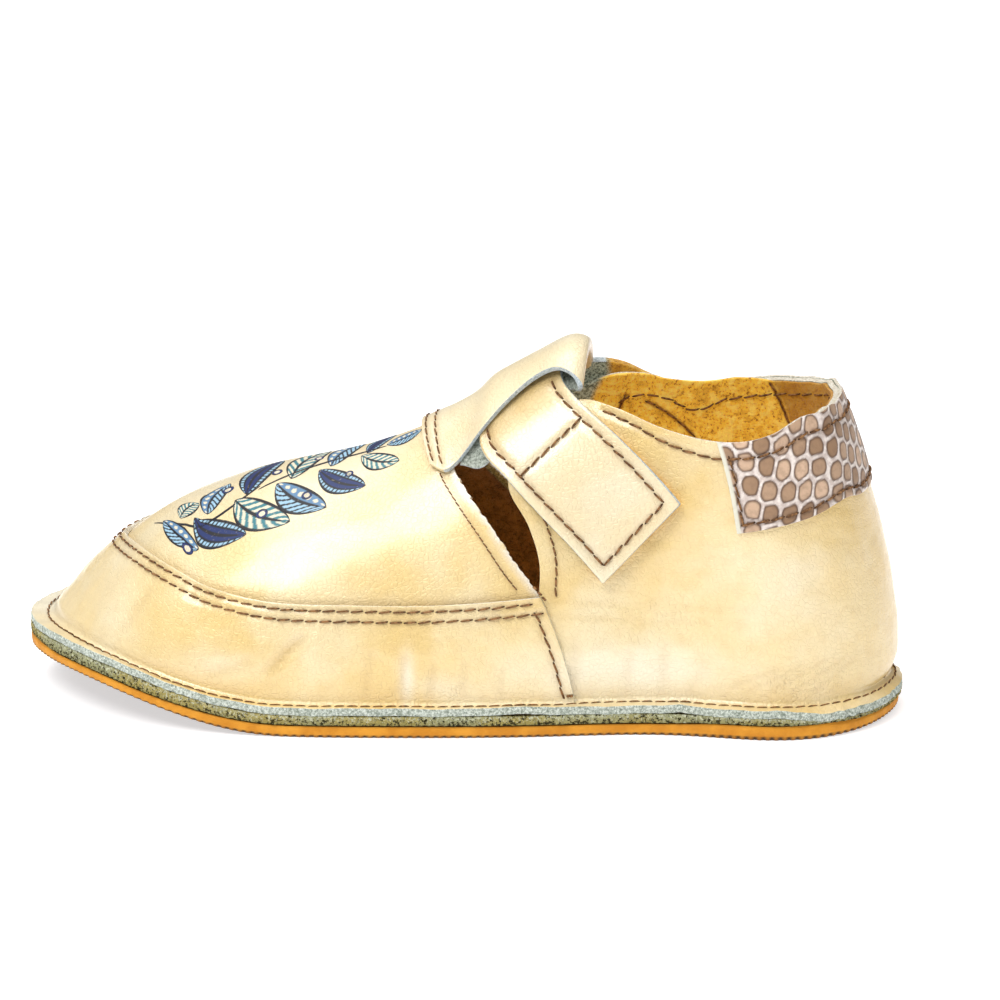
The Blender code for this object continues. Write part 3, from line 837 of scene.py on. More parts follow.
# %% Toe wall leather
share = np.linspace(0, 1, 430)
rise = np.linspace(0, 1, 46)[:, None]
guess = SEAM[0][1] + (AROUND - 2 * SEAM[0][1]) * share
low_t = first_girth(guess)
wall_t = low_t + (plug_girth(guess) - low_t) * rise
seam_u = through(SEAM, np.minimum(wall_t[:, 0], 0.28))[:, 0][:, None]
wall_u = seam_u + (AROUND - 2 * seam_u) * share
wall_t = low_t + (plug_girth(wall_u) - low_t) * rise
sides = [name for name in ROWS if "side seam" in name or "plug" in name]
toe_wall = strip("toe_wall_leather", wall_u, wall_t, WALL_LIFT, LEATHER, sides, WALL_CREASES)
dress(toe_wall, "upper", "cream_leather", CREAM, PALE_EDGE, FLESH, WHITE_EDGE)

# %% [markdown]
# ## Quarter
# One strip of leather goes round the heel, from slit to slit. It has the same flange. Its front edge
# dives under the toe wall, and its top edge is the collar.


# %% Quarter leather
def join_halves(u, t, other_u, other_t):
    """One grid from a lateral and a medial half, which share their last column."""
    return np.hstack([u, AROUND - other_u[:, -2::-1]]), np.hstack([t, other_t[:, -2::-1]])


def quarter_grid(columns, rows, low, collar_drop=0.0):
    """Places and girths of the quarter, from the lateral slit round the heel to the medial slit."""
    share = np.linspace(0, 1, columns)
    rise = np.linspace(0, 1, rows)[:, None]
    halves = []
    for collar in (COLLAR_LATERAL, COLLAR_MEDIAL):
        top = through(collar, share)
        start = first_girth((1 - share) * 4.9) if low is None else np.full(columns, low)
        t = start + (top[:, 1] - collar_drop - start) * rise
        front = through(QUARTER_FRONT, t[:, 0])[:, 0][:, None]
        swing = np.clip((rise - 0.35) / 0.65, 0, 1) ** 1.3
        u = front * (1 - share) + swing * (top[:, 0] - (1 - share) * front[-1])
        halves += [u, t]
    return join_halves(*halves)


quarter_u, quarter_t = quarter_grid(165, 84, None)
pressed = [name for name in ROWS if "quarter" in name or "collar" in name]
back = np.exp(-((np.minimum(quarter_u, AROUND - quarter_u) / 1.1) ** 2))
fade = np.cos(np.pi / 2 * np.clip((quarter_t - 0.1) / 0.3, 0, 1)) ** 2
swell = 1.1 * back * np.clip(quarter_t / 0.05, 0, 1) * fade
quarter = strip("quarter_leather", quarter_u, quarter_t, 0.0, LEATHER, pressed, QUARTER_CREASES, swell)
dress(quarter, "upper", "cream_leather", CREAM, PALE_EDGE, FLESH, WHITE_EDGE)

# %% [markdown]
# ## Vamp plug
# The plug is the smooth top of the forefoot. Its grid runs from under the toe wall up to the ridge on both
# sides, and coinciding points on the ridge join the two halves.

# %% Plug leather
VAMP_ROWS = [name for name in ROWS if "vamp back" in name]


def plug_skin(u, t, extra=0.0):
    """Outer side of the plug: pressed by its seam, tucked in at the toe wall, softly uneven elsewhere."""
    flat = skin(u, t, 0.0)
    press, painted_shade_and_darkening = grooves(flat, VAMP_ROWS, depth=0.12, width=0.6)
    tuck = np.exp(-((np.maximum(t - plug_girth(u), 0) / 0.018) ** 2))
    soft = 0.10 * wavy(flat, 14.0, 6) * np.clip((1 - t) / 0.05, 0, 1)
    # The tuck also gives painted shade, where the plug dives under the toe wall.
    return skin(u, t, extra - press - 0.10 * tuck + soft), painted_shade_and_darkening + 0.25 * tuck


rise = np.linspace(0, 1, 104)[:, None]
half = np.linspace(0, 1, 166)
back_t = 0.235 + 0.765 * rise
back_u = through(VAMP_BACK, back_t[:, 0])[:, 0][:, None]
half_u = back_u + (TOE - back_u) * half
half_low = plug_girth(half_u) - 0.036
half_t = np.minimum(half_low + (1 - half_low) * rise, 1.0)
plug_u, plug_t = join_halves(half_u, half_t, half_u, half_t)
edge_share = np.hstack([half, half[-2::-1]])
near_edge = np.exp(-((edge_share / 0.006) ** 2)) * (plug_t < 0.66)
fuzz = 0.014 * wavy(skin(plug_u, plug_t, 0.0), 0.8, 8) * near_edge
plug_u = plug_u + fuzz * np.where(plug_u > TOE, -1, 1)
outer, painted_shade_and_darkening = plug_skin(plug_u, plug_t)
fray = 0.8 * np.exp(-((edge_share / 0.006) ** 2)) * (plug_t < 0.7)
# pale is painted highlight, growing towards the ridge.
facts = {"painted_shade_and_darkening": painted_shade_and_darkening, "fray": fray, "pale": 0.3 * plug_t**2}
plug = sheet("vamp_plug_leather", outer, skin(plug_u, plug_t, -1.2), facts=facts, rounding=0.2)
dress(plug, "upper", "cream_leather", CREAM, WHITE_EDGE, FLESH)

# %% [markdown]
# ## Printed branch
# The top of the plug carries a print in blues and black. Here it is a branch with patterned leaves. It is
# drawn flat, in millimetres along the shoe and down from the ridge, and then laid on the plug: the girth
# that lies a given way down from the ridge is read off the length of the ribs.


# %% From the flat drawing to the plug
def girth_down(x, down, medial):
    """Girth at a distance down from the ridge, on lines across the shoe whose lengths are summed up."""
    girth, lines = np.linspace(1, 0.4, 61), np.linspace(-68, -2, 67)
    points = last(place_at(lines[:, None], girth, medial), np.broadcast_to(girth, (67, 61)))
    steps = np.linalg.norm(np.diff(points, axis=1), axis=-1)
    run = np.hstack([np.zeros((67, 1)), np.cumsum(steps, 1)])
    i = np.clip(np.searchsorted(lines, x) - 1, 0, 65)
    b = ((x - lines[i]) / (lines[i + 1] - lines[i]))[..., None]
    here = run[i] * (1 - b) + run[i + 1] * b
    j = np.clip((here < down[..., None]).sum(-1) - 1, 0, 59)
    near, far = (np.take_along_axis(here, (j + k)[..., None], -1)[..., 0] for k in (0, 1))
    return girth[j] + (girth[j + 1] - girth[j]) * np.clip((down - near) / (far - near), 0, 1)


def on_plug(x, down):
    """Place and girth of the drawing's points: positive down is lateral, negative medial."""
    t = np.where(down > 0, girth_down(x, np.abs(down), False), girth_down(x, np.abs(down), True))
    return np.where(down > 0, place_at(x, t, False), place_at(x, t, True)), t


# %% [markdown]
# Every mark of the print has the same small grid, so all of them fit in one array: a leaf, a berry or a
# stroke differs only in length, width, bend and how blunt its ends are. The pattern inside is chosen from
# the place along and across the mark.

# %% Leaves and their colours
INK, NAVY, STEEL, SKY, TEAL, PALE = (
    (0.012, 0.012, 0.017),
    (0.014, 0.030, 0.130),
    (0.110, 0.230, 0.390),
    (0.330, 0.530, 0.680),
    (0.040, 0.200, 0.240),
    (0.780, 0.700, 0.520),
)
MARKS = np.array(
    [
        (-57.0, 16.5, -22, 22.0, 0.30, 0.10, 0.3, 0),
        (-36.8, 9.2, -14, 23.5, 0.26, -0.08, 0.3, 0),
        (-55.0, 15.6, 28, 9.5, 2.5, 0.10, 0.8, 1),
        (-51.5, 14.2, -60, 6.5, 1.9, -0.12, 0.8, 2),
        (-48.5, 13.0, 32, 12.5, 3.1, 0.12, 0.8, 3),
        (-46.0, 12.0, -70, 9.0, 2.5, -0.14, 0.8, 1),
        (-41.0, 10.5, 36, 13.5, 3.3, 0.12, 0.8, 2),
        (-39.0, 9.8, -66, 13.0, 3.2, -0.12, 0.8, 3),
        (-33.5, 8.6, 38, 12.5, 3.1, 0.12, 0.8, 1),
        (-31.0, 7.9, -60, 12.0, 3.0, -0.12, 0.8, 2),
        (-26.0, 6.6, 34, 11.0, 2.7, 0.12, 0.8, 3),
        (-24.0, 6.0, -56, 10.0, 2.6, -0.12, 0.8, 1),
        (-18.5, 4.6, 30, 8.5, 2.1, 0.10, 0.8, 2),
        (-17.5, 4.2, -50, 7.5, 1.9, -0.10, 0.8, 3),
        (-14.0, 3.2, -12, 6.4, 1.8, 0.06, 0.8, 1),
        (-50.0, 20.5, 10, 2.4, 1.2, 0.0, 0.5, 4),
        (-44.0, 6.0, 10, 2.2, 1.1, 0.0, 0.5, 4),
        (-36.5, 15.5, 10, 2.2, 1.1, 0.0, 0.5, 4),
        (-35.0, 4.4, 10, 2.0, 1.0, 0.0, 0.5, 4),
        (-28.5, 12.8, 10, 2.0, 1.0, 0.0, 0.5, 4),
        (-27.5, 1.8, 10, 1.8, 0.9, 0.0, 0.5, 4),
        (-21.0, 9.0, 10, 1.6, 0.8, 0.0, 0.5, 4),
    ]
)


def inked(along, across, kind):
    """Colour of a mark's points: black outline and midrib over stripes, chevrons, bands or a plain eye."""
    wide = np.abs(across)
    bars = np.mod(along * 9 + wide * 2.2, 1) < 0.38
    chevron = np.mod(along * 7 - wide * 1.6, 1) < 0.5
    ticks = np.mod(along * 15, 1) < 0.35
    dots = (np.mod(along * 7, 1) - 0.5) ** 2 / 0.09 + (wide - 0.45) ** 2 / 0.03 < 1
    tests = [
        (kind == 0) | (wide > 0.84) | (along < 0.03) | (along > 0.97),
        (kind < 4) & (wide < 0.13 - 0.06 * along),
        (kind == 1) & (across > 0) & bars,
        (kind == 1) & (across > 0),
        (kind == 1) & dots,
        kind == 1,
        (kind == 2) & chevron,
        kind == 2,
        (kind == 3) & (wide > 0.56) & ticks,
        (kind == 3) & (wide > 0.56),
        (kind == 3) & (wide > 0.46),
        kind == 3,
        (along - 0.5) ** 2 * 4 + across**2 < 0.3,
    ]
    inks = [INK, INK, INK, SKY, PALE, STEEL, TEAL, PALE, INK, SKY, INK, NAVY, PALE]
    return np.select([test[..., None] for test in tests], [np.array(ink) for ink in inks], np.array(NAVY))


def slab_faces(rows, columns):
    """Faces of a thin closed slab of two grids, the upper one first."""
    upper = np.arange(rows * columns).reshape(rows, columns)
    lower = upper + rows * columns
    quads = np.stack([upper[:-1, :-1], upper[1:, :-1], upper[1:, 1:], upper[:-1, 1:]], -1).reshape(-1, 4)
    edge = np.concatenate([upper[:-1, 0], upper[-1, :-1], upper[:0:-1, -1], upper[0, :0:-1]])
    below = np.concatenate([lower[:-1, 0], lower[-1, :-1], lower[:0:-1, -1], lower[0, :0:-1]])
    rim = np.stack([np.roll(edge, -1), edge, below, np.roll(below, -1)], -1)
    return np.concatenate([quads, quads[:, ::-1] + rows * columns, rim])


# %% [markdown]
# The drawing is laid on the plug twice, a little above the leather and a little below its surface. The two
# layers of each mark close into a thin slab, and all slabs become one mesh.

# %% The print as one mesh
LONG, WIDE = 72, 27
along, across = np.linspace(0, 1, LONG)[:, None], np.linspace(-1, 1, WIDE)
x0, d0, angle, length, half_width, bend, blunt, kind = (MARKS[:, k, None, None] for k in range(8))
angle = np.radians(angle)
width = half_width * np.maximum(4 * along * (1 - along), 0.004) ** blunt
local_x, local_d = along * length + 0 * across, across * width + bend * length * np.sin(np.pi * along)
x = x0 + local_x * np.cos(angle) - local_d * np.sin(angle)
down = d0 + local_x * np.sin(angle) + local_d * np.cos(angle)
u, t = on_plug(x, down)
upper, _ = plug_skin(u, t, 0.05)
lower, _ = plug_skin(u, t, -0.15)
ink = inked(along + 0 * x, across + 0 * x, kind + 0 * x)
ink = np.concatenate([ink, np.ones((*ink.shape[:3], 1))], -1)
points = np.concatenate([upper.reshape(len(MARKS), -1, 3), lower.reshape(len(MARKS), -1, 3)], 1)
colours = np.concatenate([ink.reshape(len(MARKS), -1, 4)] * 2, 1)
faces = slab_faces(LONG, WIDE)
corner = points[0][faces[0]]
if np.cross(corner[1] - corner[0], corner[3] - corner[0]) @ (points[0, 0] - points[0, LONG * WIDE]) < 0:
    faces = faces[:, ::-1]
faces = (np.arange(len(MARKS))[:, None, None] * points.shape[1] + faces).reshape(-1, 4).tolist()
branch = put("branch_print", points.reshape(-1, 3), faces, None, {"ink": colours.reshape(-1, 4)})


def print_ink():
    """Thin ink film: the drawn colour, a little worn through to the leather in fine specks."""
    f = Finish("print ink", Specular_IOR_Level=0.45, Roughness=0.42)
    fine = f.noise(1500.0, 3.0)
    f.feed(Base_Color=f.mix(f.band(fine, 0.6, 0.75) * 0.35, f.fact("ink", 0), (0.55, 0.46, 0.30)))
    return f.material


dress(branch, "upper", "cream_leather", print_ink())

# %% [markdown]
# ## Linings
# Inside, the quarter is lined with ochre suede that shows all round the collar. The vamp is lined with
# dark brown suede, which is what the slits show; its dark tone is partly painted shade for the inside of the
# forefoot.

# %% Collar lining
LINING_FACE, LINING_BACK, LINING_ROWS = -1.7, -1.14, 54
lining_u, lining_t = quarter_grid(140, LINING_ROWS, 0.0, 0.0008)
front = np.clip((19.4 - lining_u) / 0.5, 0, 1) * (lining_u > TOE)
lining_t = lining_t + 0.022 * front * np.linspace(0, 1, LINING_ROWS)[:, None] ** 4
plain = skin(lining_u, lining_t, -1.6)
# The collar rows press grooves with painted shade beside them.
press, painted_shade_and_darkening = grooves(plain, ["collar lateral", "collar medial"], depth=0.12, width=0.9)
LINING_SEAMS = (
    (19.35, 0.527, 19.49, 0.425),
    (18.11, 0.612, 18.34, 0.462),
    (18.02, 0.652, 17.89, 0.606),
)
LINING_LINES = [(np.linspace(u0, u1, 120), np.linspace(t0, t1, 120)) for u0, t0, u1, t1 in LINING_SEAMS]
for u, t in LINING_LINES:
    dark = np.exp(-((distance_to(plain, skin(u, t, -1.6)) / 0.3) ** 2))
    press, painted_shade_and_darkening = press + 0.25 * dark, np.maximum(painted_shade_and_darkening, 0.9 * dark)
nap = 0.07 * wavy(plain, 1.7, 12) + 0.10 * wavy(plain, 6.0, 13)
seam_u, seam_t, _, _ = LINING_SEAMS[0]
heel_seam = seam_u + 1.37 * (seam_t - lining_t)
behind = np.clip((lining_u - heel_seam) / 0.08, 0, 1) + (lining_u < AROUND - seam_u)
# The lining is darker from the heel seam round the back of the heel.
painted_shade_and_darkening = np.maximum(painted_shade_and_darkening, 0.46 * behind)
bare_to = 22.0 + 25.0 * (lining_t - 0.66)
bare = np.clip((bare_to - plain[..., 0]) / 1.2, 0, 1) * (plain[..., 1] > 0)
lining = sheet(
    "collar_lining_suede",
    skin(lining_u, lining_t, LINING_FACE - nap + press),
    skin(lining_u, lining_t, LINING_BACK),
    facts={"painted_shade_and_darkening": painted_shade_and_darkening * 1.6, "bare": bare},
    rounding=0.15,
)
dress(lining, "upper", "ochre_suede", OCHRE, OCHRE, OCHRE)

# %% [markdown]
# The vamp's lining follows the whole forefoot, from near the sole up to the ridge.

# %% Vamp lining
rise = np.linspace(0, 1, 30)[:, None]
half = np.linspace(0, 1, 70)
back_t = 0.02 + 0.98 * rise
back_u = through(((0.0, 4.62),) + VAMP_BACK[2:], back_t[:, 0])[:, 0][:, None] + 0.05
half_u = back_u + (TOE - back_u) * half
half_t = np.broadcast_to(back_t, half_u.shape)
inside_u, inside_t = join_halves(half_u, half_t, half_u, half_t)
vamp_lining = sheet(
    "vamp_lining_suede",
    skin(inside_u, inside_t, LINING_FACE),
    skin(inside_u, inside_t, -1.3),
    rounding=0,
)
dress(vamp_lining, "upper", "ochre_suede", BROWN_PAINTED_SHADE, BROWN_PAINTED_SHADE, BROWN_PAINTED_SHADE)

# %% [markdown]
# ## Strap and T-bar
# The strap's table gives its two edges from the ridge down to the tip, as length and girth. The T-bar's
# table gives the path of the loop: over the strap, round the fold and back under it. Both are sampled
# finely and lifted off the last.

# %% Strap leather
STRAP_THICK = 1.4
STRAP = (
    (0.0, 6.2, 1.000, 19.4, 1.000, 0.9),
    (0.15, 5.4, 0.870, 18.6, 0.950, 0.9),
    (0.3, 4.4, 0.730, 18.9, 0.850, 1.0),
    (0.5, 9.7, 0.585, 23.4, 0.715, 1.1),
    (0.66, 15.4, 0.470, 29.5, 0.600, 1.0),
    (0.83, 21.1, 0.370, 35.1, 0.505, 0.9),
    (1.0, 26.6, 0.275, 40.6, 0.415, 0.9),
)
STRAP_ROOT = (
    (0.0, 6.2, 1.000, 19.4, 1.000, 0.9),
    (0.15, 5.4, 0.870, 18.8, 0.945, 0.9),
    (0.3, 4.4, 0.730, 19.2, 0.842, 1.0),
    (0.4, 6.8, 0.655, 24.4, 0.782, 1.2),
    (0.5, 9.7, 0.585, 28.2, 0.732, 1.0),
    (0.6, 13.2, 0.510, 31.4, 0.680, 0.6),
    (0.72, 17.5, 0.430, 34.8, 0.630, 0.3),
)


def strap_place(along, across, medial=False):
    """Place, girth and lift of the strap's underside: along 0 ridge to 1 tip, across 0 front to 1 back."""
    along, across = np.broadcast_arrays(np.asarray(along, float), np.asarray(across, float))
    edges = through(STRAP_ROOT if medial else STRAP, along)
    front_x, front_t, back_x, back_t, lift = np.moveaxis(edges, -1, 0)
    t = np.minimum(front_t + (back_t - front_t) * across, 1)
    return place_at(front_x + (back_x - front_x) * across, t, medial), t, lift


def strap_row(name, along, across, medial=False, **more):
    """Seam row on the strap's upper side."""
    u, t, lift = strap_place(along, across, medial)
    row(name, u, t, lift + STRAP_THICK, **more)


line = np.linspace(0.27, 0.955, 200)
strap_row("strap front", line, 0.108, pitch=2.6)
strap_row("strap back", line, 0.892, pitch=2.6)
strap_row("strap tip", 0.955, np.linspace(0.108, 0.892, 80), pitch=2.6)
strap_row("strap cross", 0.52, np.linspace(0.108, 0.892, 80), pitch=2.6)
line = np.linspace(0.3, 0.68, 120)
strap_row("strap root front", line, 0.1, True, pitch=2.6)
strap_row("strap root back", line, 0.9, True, pitch=2.6)
strap_row("strap root end", 0.68, np.linspace(0.1, 0.9, 80), True, pitch=2.6)

# %% [markdown]
# The strap's sheet runs from the lateral tip over the ridge to its root on the medial side. Painted shade
# darkens it under the loop and a painted highlight lightens the rest. Its inside is ochre suede, grey near
# the loop and darker at the root with painted shade.

# %% Strap sheet
across = np.linspace(0, 1, 42)
near_along = np.linspace(1, 0, 120)[:, None]
far_along = np.linspace(0, STRAP_ROOT[-1][0], 90)[1:, None]
near = strap_place(near_along, across)
far = strap_place(far_along, across, True)
strap_u, strap_t, strap_lift = (np.concatenate(pair) for pair in zip(near, far))
plain = skin(strap_u, strap_t, strap_lift + STRAP_THICK)
press, painted_shade_and_darkening = grooves(plain, [name for name in ROWS if "strap" in name], depth=0.2, width=0.8)
puff = 0.08 * wavy(plain, 11.0, 21)
way = np.concatenate([near_along, far_along])
# shade is painted shadow under the loop, and pale is painted highlight outside it.
shade = np.clip((0.53 - 0.08 * across - way) / 0.2, 0, 1)
painted_shade_and_darkening = painted_shade_and_darkening + 0.3 * shade
pale = 0.4 * (1 - shade)
bare = np.clip((25.2 - plain[..., 0]) / 1.2, 0, 1)
# shadow is painted shade on the inside of the strap's medial half.
shadow = 0.55 * (strap_u > TOE) * (strap_t < 0.9)
strap = sheet(
    "strap_leather",
    skin(strap_u, strap_t, strap_lift + STRAP_THICK - press + puff * (strap_t < 0.99)),
    skin(strap_u, strap_t, strap_lift),
    facts={"painted_shade_and_darkening": painted_shade_and_darkening, "pale": pale, "bare": bare, "shadow": shadow},
    rounding=0.3,
    other=lambda middle: (middle[:, 1] > 6.0) & (middle[:, 0] > 24.5),
)
dress(strap, "strap", "cream_leather", CREAM, BLUE_EDGE, OCHRE, OCHRE)

# %% [markdown]
# The loop's path is a closed fold, so its outer and inner sides are two tables. A parabola across the bar
# carries each row from the ridge to the side edge.

# %% T-bar leather
T_BAR_OUTER = (
    (0, -7.3, -4.8, 0.728, 1.5),
    (1, -4.5, -2.2, 0.690, 1.5),
    (2, -1.2, -0.2, 0.700, 1.5),
    (3, 2.6, 1.7, 0.723, 2.0),
    (4, 6.4, 5.0, 0.760, 3.5),
    (5, 10.0, 9.5, 0.820, 4.0),
    (6, 15.0, 14.4, 0.862, 4.5),
    (7, 19.6, 18.4, 0.863, 4.9),
    (8, 22.0, 21.4, 0.830, 4.3),
    (9, 23.4, 22.8, 0.795, 2.6),
    (10, 22.4, 21.8, 0.790, 0.8),
    (11, 19.6, 19.0, 0.815, 0.2),
    (12, 10.0, 11.4, 0.780, 0.2),
    (13, 5.4, 5.2, 0.664, 0.2),
    (14, 2.0, 0.3, 0.699, 0.05),
)
T_BAR_INNER = (
    (0, -7.3, -4.8, 0.728, 0.3),
    (1, -4.5, -2.2, 0.690, 0.3),
    (2, -1.2, -0.2, 0.700, 0.3),
    (3, 2.6, 1.7, 0.723, 0.85),
    (4, 6.4, 5.0, 0.760, 2.45),
    (5, 10.0, 9.5, 0.820, 2.95),
    (6, 15.0, 14.4, 0.862, 3.4),
    (7, 19.6, 18.4, 0.863, 3.75),
    (8, 21.5, 20.9, 0.830, 3.4),
    (9, 22.2, 21.8, 0.795, 2.5),
    (10, 21.9, 21.3, 0.790, 1.5),
    (11, 19.6, 19.0, 0.815, 0.85),
    (12, 10.0, 11.4, 0.780, 0.85),
    (13, 5.4, 5.2, 0.664, 0.85),
    (14, 2.0, 0.3, 0.699, 0.4),
)


def t_bar_place(table, along, across):
    """Place, girth and lift on the loop: along is its table's place, across runs from -1 to 1."""
    along, across = np.broadcast_arrays(np.asarray(along, float), np.asarray(across, float))
    middle_x, side_x, side_t, lift = np.moveaxis(through(table, along), -1, 0)
    x = middle_x + (side_x - middle_x) * across**2
    t = 1 + (side_t - 1) * np.abs(across)
    u = np.where(across > 0, place_at(x, t, True), place_at(x, t, False))
    return u, t, lift


def t_bar_row(name, along, across, **more):
    """Seam row on the loop's upper side."""
    u, t, lift = t_bar_place(T_BAR_OUTER, along, across)
    row(name, u, t, lift, **more)


# %% [markdown]
# Two rows sew the loop to the throat. The sheet's grid is finer round the fold.

# %% T-bar sheet
across = np.linspace(-0.93, 0.93, 160)
t_bar_row("t-bar front", 0.31, across, pitch=2.2, thick=0.16)
t_bar_row("t-bar second", 0.94, across, pitch=2.2, thick=0.16)

legs = (np.linspace(0, 7, 74), np.linspace(7, 11, 40)[1:], np.linspace(11, 14, 40)[1:])
along = np.concatenate(legs)[:, None]
across = np.linspace(-1, 1, 81)
u, t, lift = t_bar_place(T_BAR_OUTER, along, across)
plain = skin(u, t, lift)
press, painted_shade_and_darkening = grooves(plain, ["t-bar front", "t-bar second"], depth=0.12, width=0.6)
outer = skin(u, t, lift - press)
u, t, lift = t_bar_place(T_BAR_INNER, along, across)
# The pale fact is painted highlight over the whole loop.
t_bar = sheet(
    "t_bar_leather",
    outer,
    skin(u, t, lift),
    facts={"painted_shade_and_darkening": painted_shade_and_darkening, "pale": 0.35 + 0 * painted_shade_and_darkening},
    rounding=0.3,
    other=lambda middle: middle[:, 0] < -2.5,
)
dress(t_bar, "t_bar", "cream_leather", CREAM, BLUE_EDGE, FLESH, CREAM)

# %% [markdown]
# ## Heel patch
# The patch has a printed net of oval scales. Their pattern is worked out per point: the nearest and second
# nearest centre of a jittered honeycomb give an oval, its dark rim and the pale net between ovals. The
# same numbers raise the scales a little.

# %% Patch pattern
PATCH_LOW = (
    (0.0, 3.20, 0.335),
    (0.25, 2.55, 0.330),
    (0.5, 1.90, 0.330),
    (0.75, 0.98, 0.341),
    (1.0, 0.0, 0.358),
)
PATCH_LIFT = 0.7


def patch_grid(columns, rows):
    """Places and girths of the patch, from its lateral front edge round the heel to the medial one."""
    share = np.linspace(0, 1, columns)
    rise = np.linspace(0, 1, rows)[:, None]
    low = through(PATCH_LOW, share)
    halves = []
    for collar in (COLLAR_LATERAL, COLLAR_MEDIAL):
        line = through(collar, np.linspace(1, 0.3, 200))
        u = low[:, 0] + rise * 0.02 * (1 - share)
        top = np.interp(u[-1], line[:, 0], line[:, 1])
        halves += [u, low[:, 1] + (top + 0.001 - low[:, 1]) * rise]
    u, t = join_halves(*halves)
    return np.mod(u, AROUND), t


def scales(a, b, seed=31):
    """Scale pattern at flat places a, b: distances to the nearest two centres, and the nearest one's tone.

    Centres lie on a slanted lattice with a little jitter, and distances are shorter along the slant.
    """
    rng = np.random.default_rng(seed)
    i, j = np.meshgrid(np.arange(-14, 15), np.arange(-14, 15), indexing="ij")
    centre = i[..., None] * np.array([4.0, 2.6]) + j[..., None] * np.array([3.1, -1.4])
    centre = centre[(np.abs(centre[..., 0]) < 60) & (np.abs(centre[..., 1] - 10) < 20)]
    centre = centre + rng.uniform(-0.42, 0.42, centre.shape)
    tone = rng.uniform(0, 1, len(centre))
    turn = np.radians(58)
    frame_of = np.array([[np.cos(turn), np.sin(turn)], [-np.sin(turn), np.cos(turn)]])
    stretch = frame_of / np.array([[2.02], [1.46]])
    points = np.stack([a, b], -1).reshape(-1, 2) @ stretch.T
    centre = centre @ stretch.T
    found = []
    for block in np.array_split(points, max(1, len(points) // 4000)):
        d = np.sqrt(((block[:, None] - centre[None]) ** 2).sum(-1))
        which = d.argmin(1)
        found.append(np.column_stack([np.sort(d, 1)[:, :2], tone[which]]))
    return np.moveaxis(np.concatenate(found).reshape(*a.shape, 3), -1, 0)


# %% [markdown]
# The pattern needs flat places, so the patch is unrolled: lengths are summed along its rows and columns. The
# scales are then oval, rim and net, and a pale border runs up both front edges.

# %% Patch leather
patch_u, patch_t = patch_grid(190, 68)
for name, line, inset in (("low", 0, 1.5), ("top", -1, -3.0)):
    u, t = patch_u[line, 4:-4], patch_t[line, 4:-4]
    row("patch " + name, u, t + girth_step(u, t, inset), PATCH_LIFT, pitch=2.7, thick=0.22)
for name, column in (("lateral", 6), ("medial", -7)):
    u, t = patch_u[5:-11, column], patch_t[5:-11, column]
    row("patch front " + name, u, t, PATCH_LIFT, pitch=2.7, thick=0.2)

plain = skin(patch_u, patch_t, PATCH_LIFT)
steps = np.linalg.norm(np.diff(plain, axis=1), axis=-1)
flat_a = np.concatenate([np.zeros((len(plain), 1)), np.cumsum(steps, 1)], 1)
flat_a = flat_a - flat_a[:, flat_a.shape[1] // 2][:, None]
steps = np.linalg.norm(np.diff(plain, axis=0), axis=-1)
flat_b = np.concatenate([np.zeros((1, plain.shape[1])), np.cumsum(steps, 0)], 0)
flat_b = flat_b - flat_b[-1] + 18.0
nearest, second, pick = scales(flat_a, flat_b)
oval = smooth(1.10 - nearest, -0.04, 0.10) * smooth(second - nearest, 0.20, 0.42)
core = smooth(0.93 - nearest, -0.12, 0.24) * smooth(second - nearest, 0.42, 0.86)
border = smooth(0.95 - np.minimum(flat_a - flat_a[:, :1], flat_a[:, -1:] - flat_a), 0.0, 0.3)
press, painted_shade_and_darkening = grooves(plain, [name for name in ROWS if "patch" in name], depth=0.18, width=0.7)
outer = skin(patch_u, patch_t, PATCH_LIFT - 0.1 + 0.14 * oval - press + 0.04 * wavy(plain, 5.0, 33))
patch = sheet(
    "heel_patch_leather",
    outer,
    skin(patch_u, patch_t, 0.06),
    facts={"oval": oval, "core": core, "tone": pick, "painted_shade_and_darkening": painted_shade_and_darkening, "border": border},
    rounding=0.2,
)


def scale_print():
    """Pale net, dark rims and taupe ovals from the facts of the patch."""
    f = Finish("scale print", Specular_IOR_Level=0.45, Coat_Weight=0.1, Coat_Roughness=0.3)
    fine = f.noise(900.0, 4.0)
    brown = f.mix(f.fact("tone"), (0.31, 0.18, 0.095), (0.70, 0.485, 0.335))
    brown = f.mix(f.band(fine, 0.4, 0.7) * 0.35, brown, (0.22, 0.13, 0.08))
    net = f.mix(f.band(fine, 0.35, 0.65), (0.62, 0.52, 0.47), (0.90, 0.81, 0.75))
    tone = f.mix(f.fact("oval"), net, (0.115, 0.062, 0.036))
    tone = f.mix(f.fact("core"), tone, brown)
    # Painted shade beside the seam rows.
    tone = f.mix(f.fact("painted_shade_and_darkening"), tone, (0.25, 0.15, 0.10))
    tone = f.mix(f.fact("border"), tone, (0.76, 0.74, 0.62))
    f.feed(Base_Color=tone, Roughness=0.38 + 0.25 * fine)
    f.bump(fine, 0.00012)
    return f.material


dress(patch, "heel_patch", "scale_print_leather", scale_print(), WHITE_EDGE, FLESH)

# %% [markdown]
# ## Soles
# A sole is flat across, so its grid is a row of lines from the lateral edge to the medial edge. The split
# leather of the midsole has a fuzzy side, and the rubber has fine teeth along its lower edge, where
# the ribs of the tread end.


